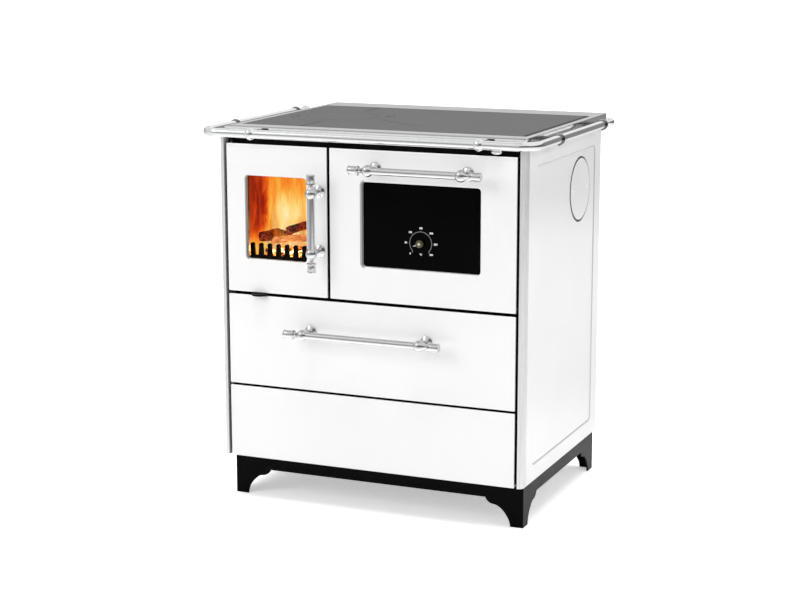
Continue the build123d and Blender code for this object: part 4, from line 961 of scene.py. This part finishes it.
def dial_arc(r0, r1, a0, a1, name, n=120):
    """Closed thin arc; angles in degrees clockwise from the top."""
    verts, faces = [], []
    for d in (9.88, 9.98):
        for i in range(n + 1):
            a = math.radians(a0 + (a1 - a0) * i / n)
            for r in (r0, r1):
                verts.append(xyz_mm(DC[0] + r * math.sin(a), d, DC[1] + r * math.cos(a)))
    m = 2 * (n + 1)
    for i in range(n):
        a = 2 * i
        faces.append((a, a + 1, a + 3, a + 2))
        faces.append((m + a, m + a + 2, m + a + 3, m + a + 1))
        faces.append((a, a + 2, m + a + 2, m + a))
        faces.append((a + 1, m + a + 1, m + a + 3, a + 3))
    faces.append((0, m, m + 1, 1))
    e = 2 * n
    faces.append((e, e + 1, m + e + 1, m + e))
    return new_mesh(name, verts, faces, INK_LINE, "oven_door", smooth=False)


dial_arc(24.6, 26.1, -135, 135, "dial_scale_arc")
for k in range(13):
    a = -135 + 22.5 * k
    far, wide = (28.6, 1.6) if k in (0, 12) else ((27.6, 1.0) if k % 2 == 0 else (27.0, 0.7))
    dial_arc(26.1, far, a - wide, a + wide, "dial_tick_%02d" % k, 3)


def dial_text(name, body, x, z, size):
    cu = bpy.data.curves.new(name, "FONT")
    cu.body = body
    cu.align_x, cu.align_y = "CENTER", "CENTER"
    cu.size = size * MM
    cu.extrude = 0.05 * MM
    cu.offset = 0.00028
    tmp = bpy.data.objects.new(name + "_t", cu)
    SCENE.collection.objects.link(tmp)
    bpy.context.view_layer.update()
    me = bpy.data.meshes.new_from_object(tmp.evaluated_get(bpy.context.evaluated_depsgraph_get()))
    bpy.data.objects.remove(tmp)
    me.name = name
    me.transform(Matrix.Translation(xyz_mm(x, 9.93, z)) @ Matrix.Rotation(math.radians(90), 4, "X"))
    ob = bpy.data.objects.new(name, me)
    SCENE.collection.objects.link(ob)
    me.materials.clear()
    me.materials.append(INK)
    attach(ob, "oven_door")
    return ob


for k in range(7):
    a = math.radians(-135 + 45 * k)
    dial_text("dial_numeral_%d" % (50 * k), str(50 * k), DC[0] + 34.5 * math.sin(a), DC[1] + 33.0 * math.cos(a), 5.3)
dial_text("dial_unit", "°C", DC[0], DC[1] - 24.0, 5.0)

# ------------------------------------------------------------------ stage
def low_band(m, vec):
    """Brightness of the far studio walls and floor by compass direction."""
    x, y, z = m.xyz(vec)
    ln = m.math("SQRT", m.math("ADD", m.math("MULTIPLY", x, x), m.math("ADD", m.math("MULTIPLY", y, y), 1e-6)))
    c = m.math("DIVIDE", m.math("ADD", m.math("MULTIPLY", x, 0.9659), m.math("MULTIPLY", y, 0.2588)), ln)
    stops = [(0.0, 0.72), (0.05, 0.6), (0.2, 0.40), (0.455, 0.34), (0.62, 0.3), (0.78, 0.25), (1.0, 0.12)]
    return m.ramp(m.remap(c, -1.0, 1.0), [(p, (v, v, v)) for p, v in stops])


def floor():
    m = Mat("studio_floor", IOR=1.4)
    g = m.noise(900.0, 2.0)
    white = m.ramp(g, [(0.3, (0.925, 0.925, 0.925)), (0.7, (0.935, 0.935, 0.935))])
    x, y, z = m.xyz()
    r = m.math("SQRT", m.math("ADD", m.math("MULTIPLY", x, x), m.math("MULTIPLY", y, y)))
    near = m.remap(r, 650.0, 1300.0, 0.93, 0.66, smooth=True)
    cr = m.math("DIVIDE", m.math("ADD", m.math("MULTIPLY", x, 0.9659), m.math("MULTIPLY", y, 0.2588)), m.math("ADD", r, 1.0))
    r0 = m.remap(cr, -0.1, 0.4, 2000.0, 3600.0, smooth=True)
    far = m.remap(r, r0, m.math("ADD", r0, 1300.0), 0.0, 1.0)
    band = m.math("MULTIPLY", low_band(m, m.co()), 0.82)
    shade = m.math("ADD", m.math("MULTIPLY", near, m.math("SUBTRACT", 1.0, far)), m.math("MULTIPLY", band, far))
    cmb = m.n("ShaderNodeCombineColor")
    for i in range(3):
        m.t.links.new(shade, cmb.inputs[i])
    lp = m.n("ShaderNodeLightPath")
    seen = m.mix(lp.outputs["Is Glossy Ray"], white, cmb.outputs[0])
    m.set("Base Color", m.mix(lp.outputs["Is Diffuse Ray"], seen, (0.7, 0.7, 0.7)))
    m.set("Roughness", 0.9)
    m.b.inputs["Specular IOR Level"].default_value = 0.0
    m.set("Emission Color", (1.0, 1.0, 1.0))
    m.set("Emission Strength", m.math("MULTIPLY", lp.outputs["Is Camera Ray"], 0.42))
    n = 96
    radii = [0.0, 2.0, 6.0, 20.0, 60.0, 120.0]
    verts, faces = [(0, 0, 0)], []
    for r in radii[1:]:
        for i in range(n):
            t = 2 * math.pi * i / n
            verts.append((r * math.cos(t), r * math.sin(t), 0))
    for i in range(n):
        faces.append((0, 1 + i, 1 + (i + 1) % n))
    for q in range(len(radii) - 2):
        for i in range(n):
            a, b = 1 + q * n + i, 1 + q * n + (i + 1) % n
            faces.append((a, a + n, b + n, b))
    me = bpy.data.meshes.new("studio_floor")
    me.from_pydata(verts, [], faces)
    me.update()
    me.materials.append(m.m)
    ob = bpy.data.objects.new("studio_floor", me)
    SCENE.collection.objects.link(ob)


floor()


def world():
    """White for the eye, an even dome for the light, a striped studio for the gloss."""
    w = bpy.data.worlds.new("studio")
    SCENE.world = w
    w.use_nodes = True
    h = Mat.__new__(Mat)
    h.m, h.t, h._co = w, w.node_tree, None
    t = h.t
    t.nodes.clear()
    out = t.nodes.new("ShaderNodeOutputWorld")
    bg = []
    for k in range(3):
        nd = t.nodes.new("ShaderNodeBackground")
        nd.inputs[0].default_value = (1.0, 1.0, 1.0, 1.0)
        nd.inputs[1].default_value = (1.0, DOME, 1.0)[k]
        bg.append(nd)
    lp = t.nodes.new("ShaderNodeLightPath")
    tc = t.nodes.new("ShaderNodeTexCoord")
    vec = tc.outputs["Generated"]
    x, y, z = h.xyz(vec)
    up = h.ramp(z, [(0.0, (0.5,) * 3), (0.22, (0.58,) * 3), (0.42, (0.86,) * 3), (0.55, (0.70,) * 3), (0.76, (1.0,) * 3),
                    (0.88, (0.86,) * 3), (0.97, (0.66,) * 3), (1.0, (0.64,) * 3)], "EASE")
    rise = h.remap(z, 0.10, 0.36, 0.0, 1.0, smooth=True)
    lb = low_band(h, vec)
    env = h.mix(rise, lb, up)
    # bright wall behind the stove, a dark flat to the right of it
    ln = h.math("SQRT", h.math("ADD", h.math("MULTIPLY", x, x), h.math("ADD", h.math("MULTIPLY", y, y), 1e-6)))
    c = h.math("DIVIDE", h.math("ADD", h.math("MULTIPLY", x, 0.9659), h.math("MULTIPLY", y, 0.2588)), ln)
    zlo = h.remap(c, 0.1, 0.5, 0.06, 0.35)
    rise_b = h.remap(z, zlo, h.math("ADD", zlo, 0.12), 0.0, 1.0)
    env_b = h.mix(rise_b, lb, (0.95, 0.95, 0.95))
    # dark camera side, from the lens round to the right
    flat = h.math("MULTIPLY", h.remap(c, -0.35, 0.02, 0.0, 1.0, smooth=True), h.remap(z, 0.4, 0.62, 1.0, 0.0, smooth=True))
    env = h.mix(h.math("MULTIPLY", flat, 0.88), env, (0.1, 0.1, 0.1))
    k = h.math("ADD", h.math("MULTIPLY", c, 1.2), y)
    env = h.mix(h.remap(k, 0.05, 0.45, 0.0, 1.0, smooth=True), env, env_b)
    # one softbox high on the left
    dot = h.n("ShaderNodeVectorMath", operation="DOT_PRODUCT")
    t.links.new(vec, dot.inputs[0])
    dot.inputs[1].default_value = Vector((-0.62, -0.50, 0.60)).normalized()
    box = h.remap(dot.outputs["Value"], 0.965, 0.985, 0.0, 1.0, smooth=True)
    env = h.mix(box, env, (2.2, 2.2, 2.2))
    t.links.new(env, bg[2].inputs[0])
    m1 = t.nodes.new("ShaderNodeMixShader")
    t.links.new(lp.outputs["Is Glossy Ray"], m1.inputs[0])
    t.links.new(bg[1].outputs[0], m1.inputs[1])
    t.links.new(bg[2].outputs[0], m1.inputs[2])
    m2 = t.nodes.new("ShaderNodeMixShader")
    t.links.new(lp.outputs["Is Camera Ray"], m2.inputs[0])
    t.links.new(m1.outputs[0], m2.inputs[1])
    t.links.new(bg[0].outputs[0], m2.inputs[2])
    t.links.new(m2.outputs[0], out.inputs[0])


DOME = 0.45
world()


def area(name, loc, target, size, power, gloss=False):
    li = bpy.data.lights.new(name, "AREA")
    li.shape = "RECTANGLE"
    li.size, li.size_y = size
    li.energy = power
    ob = bpy.data.objects.new(name, li)
    SCENE.collection.objects.link(ob)
    ob.location = loc
    ob.rotation_euler = (Vector(target) - Vector(loc)).to_track_quat("-Z", "Y").to_euler()
    ob.visible_glossy = gloss
    return ob


def overhead():
    li = bpy.data.lights.new("overhead", "SUN")
    li.energy = 2.5
    li.angle = math.radians(40.0)
    ob = bpy.data.objects.new("overhead", li)
    SCENE.collection.objects.link(ob)
    ob.location = (0, 0, 4)
    ob.visible_glossy = False


overhead()
area("key_light", (-1.9, -3.4, 2.4), (0.0, 0.0, 0.45), (2.2, 2.2), 57)
area("right_light", (3.4, -0.7, 2.4), (0.0, 0.0, 0.85), (1.6, 1.6), 34)

# ----------------------------------------------------------------- camera
cam = bpy.data.cameras.new("photo_camera")
cam.lens = 84.52
cam.sensor_width = 36.0
cam.sensor_fit = "HORIZONTAL"
cam.clip_start = 0.05
cam.clip_end = 400.0
co = bpy.data.objects.new("photo_camera", cam)
SCENE.collection.objects.link(co)
ya, pi_, ro = math.radians(23.0372), math.radians(11.4975), math.radians(-0.0662)
fwd = Vector((-math.sin(ya) * math.cos(pi_), math.cos(ya) * math.cos(pi_), -math.sin(pi_)))
right = Vector((math.cos(ya), math.sin(ya), 0.0))
upv = right.cross(fwd)
r_ = right * math.cos(ro) + upv * math.sin(ro)
u_ = right * -math.sin(ro) + upv * math.cos(ro)
co.matrix_world = Matrix(((r_.x, u_.x, -fwd.x, 1.6299), (r_.y, u_.y, -fwd.y, -3.9252), (r_.z, u_.z, -fwd.z, 1.2994), (0, 0, 0, 1)))
SCENE.camera = co
SCENE.view_settings.view_transform = "Standard"
SCENE.view_settings.look = "None"
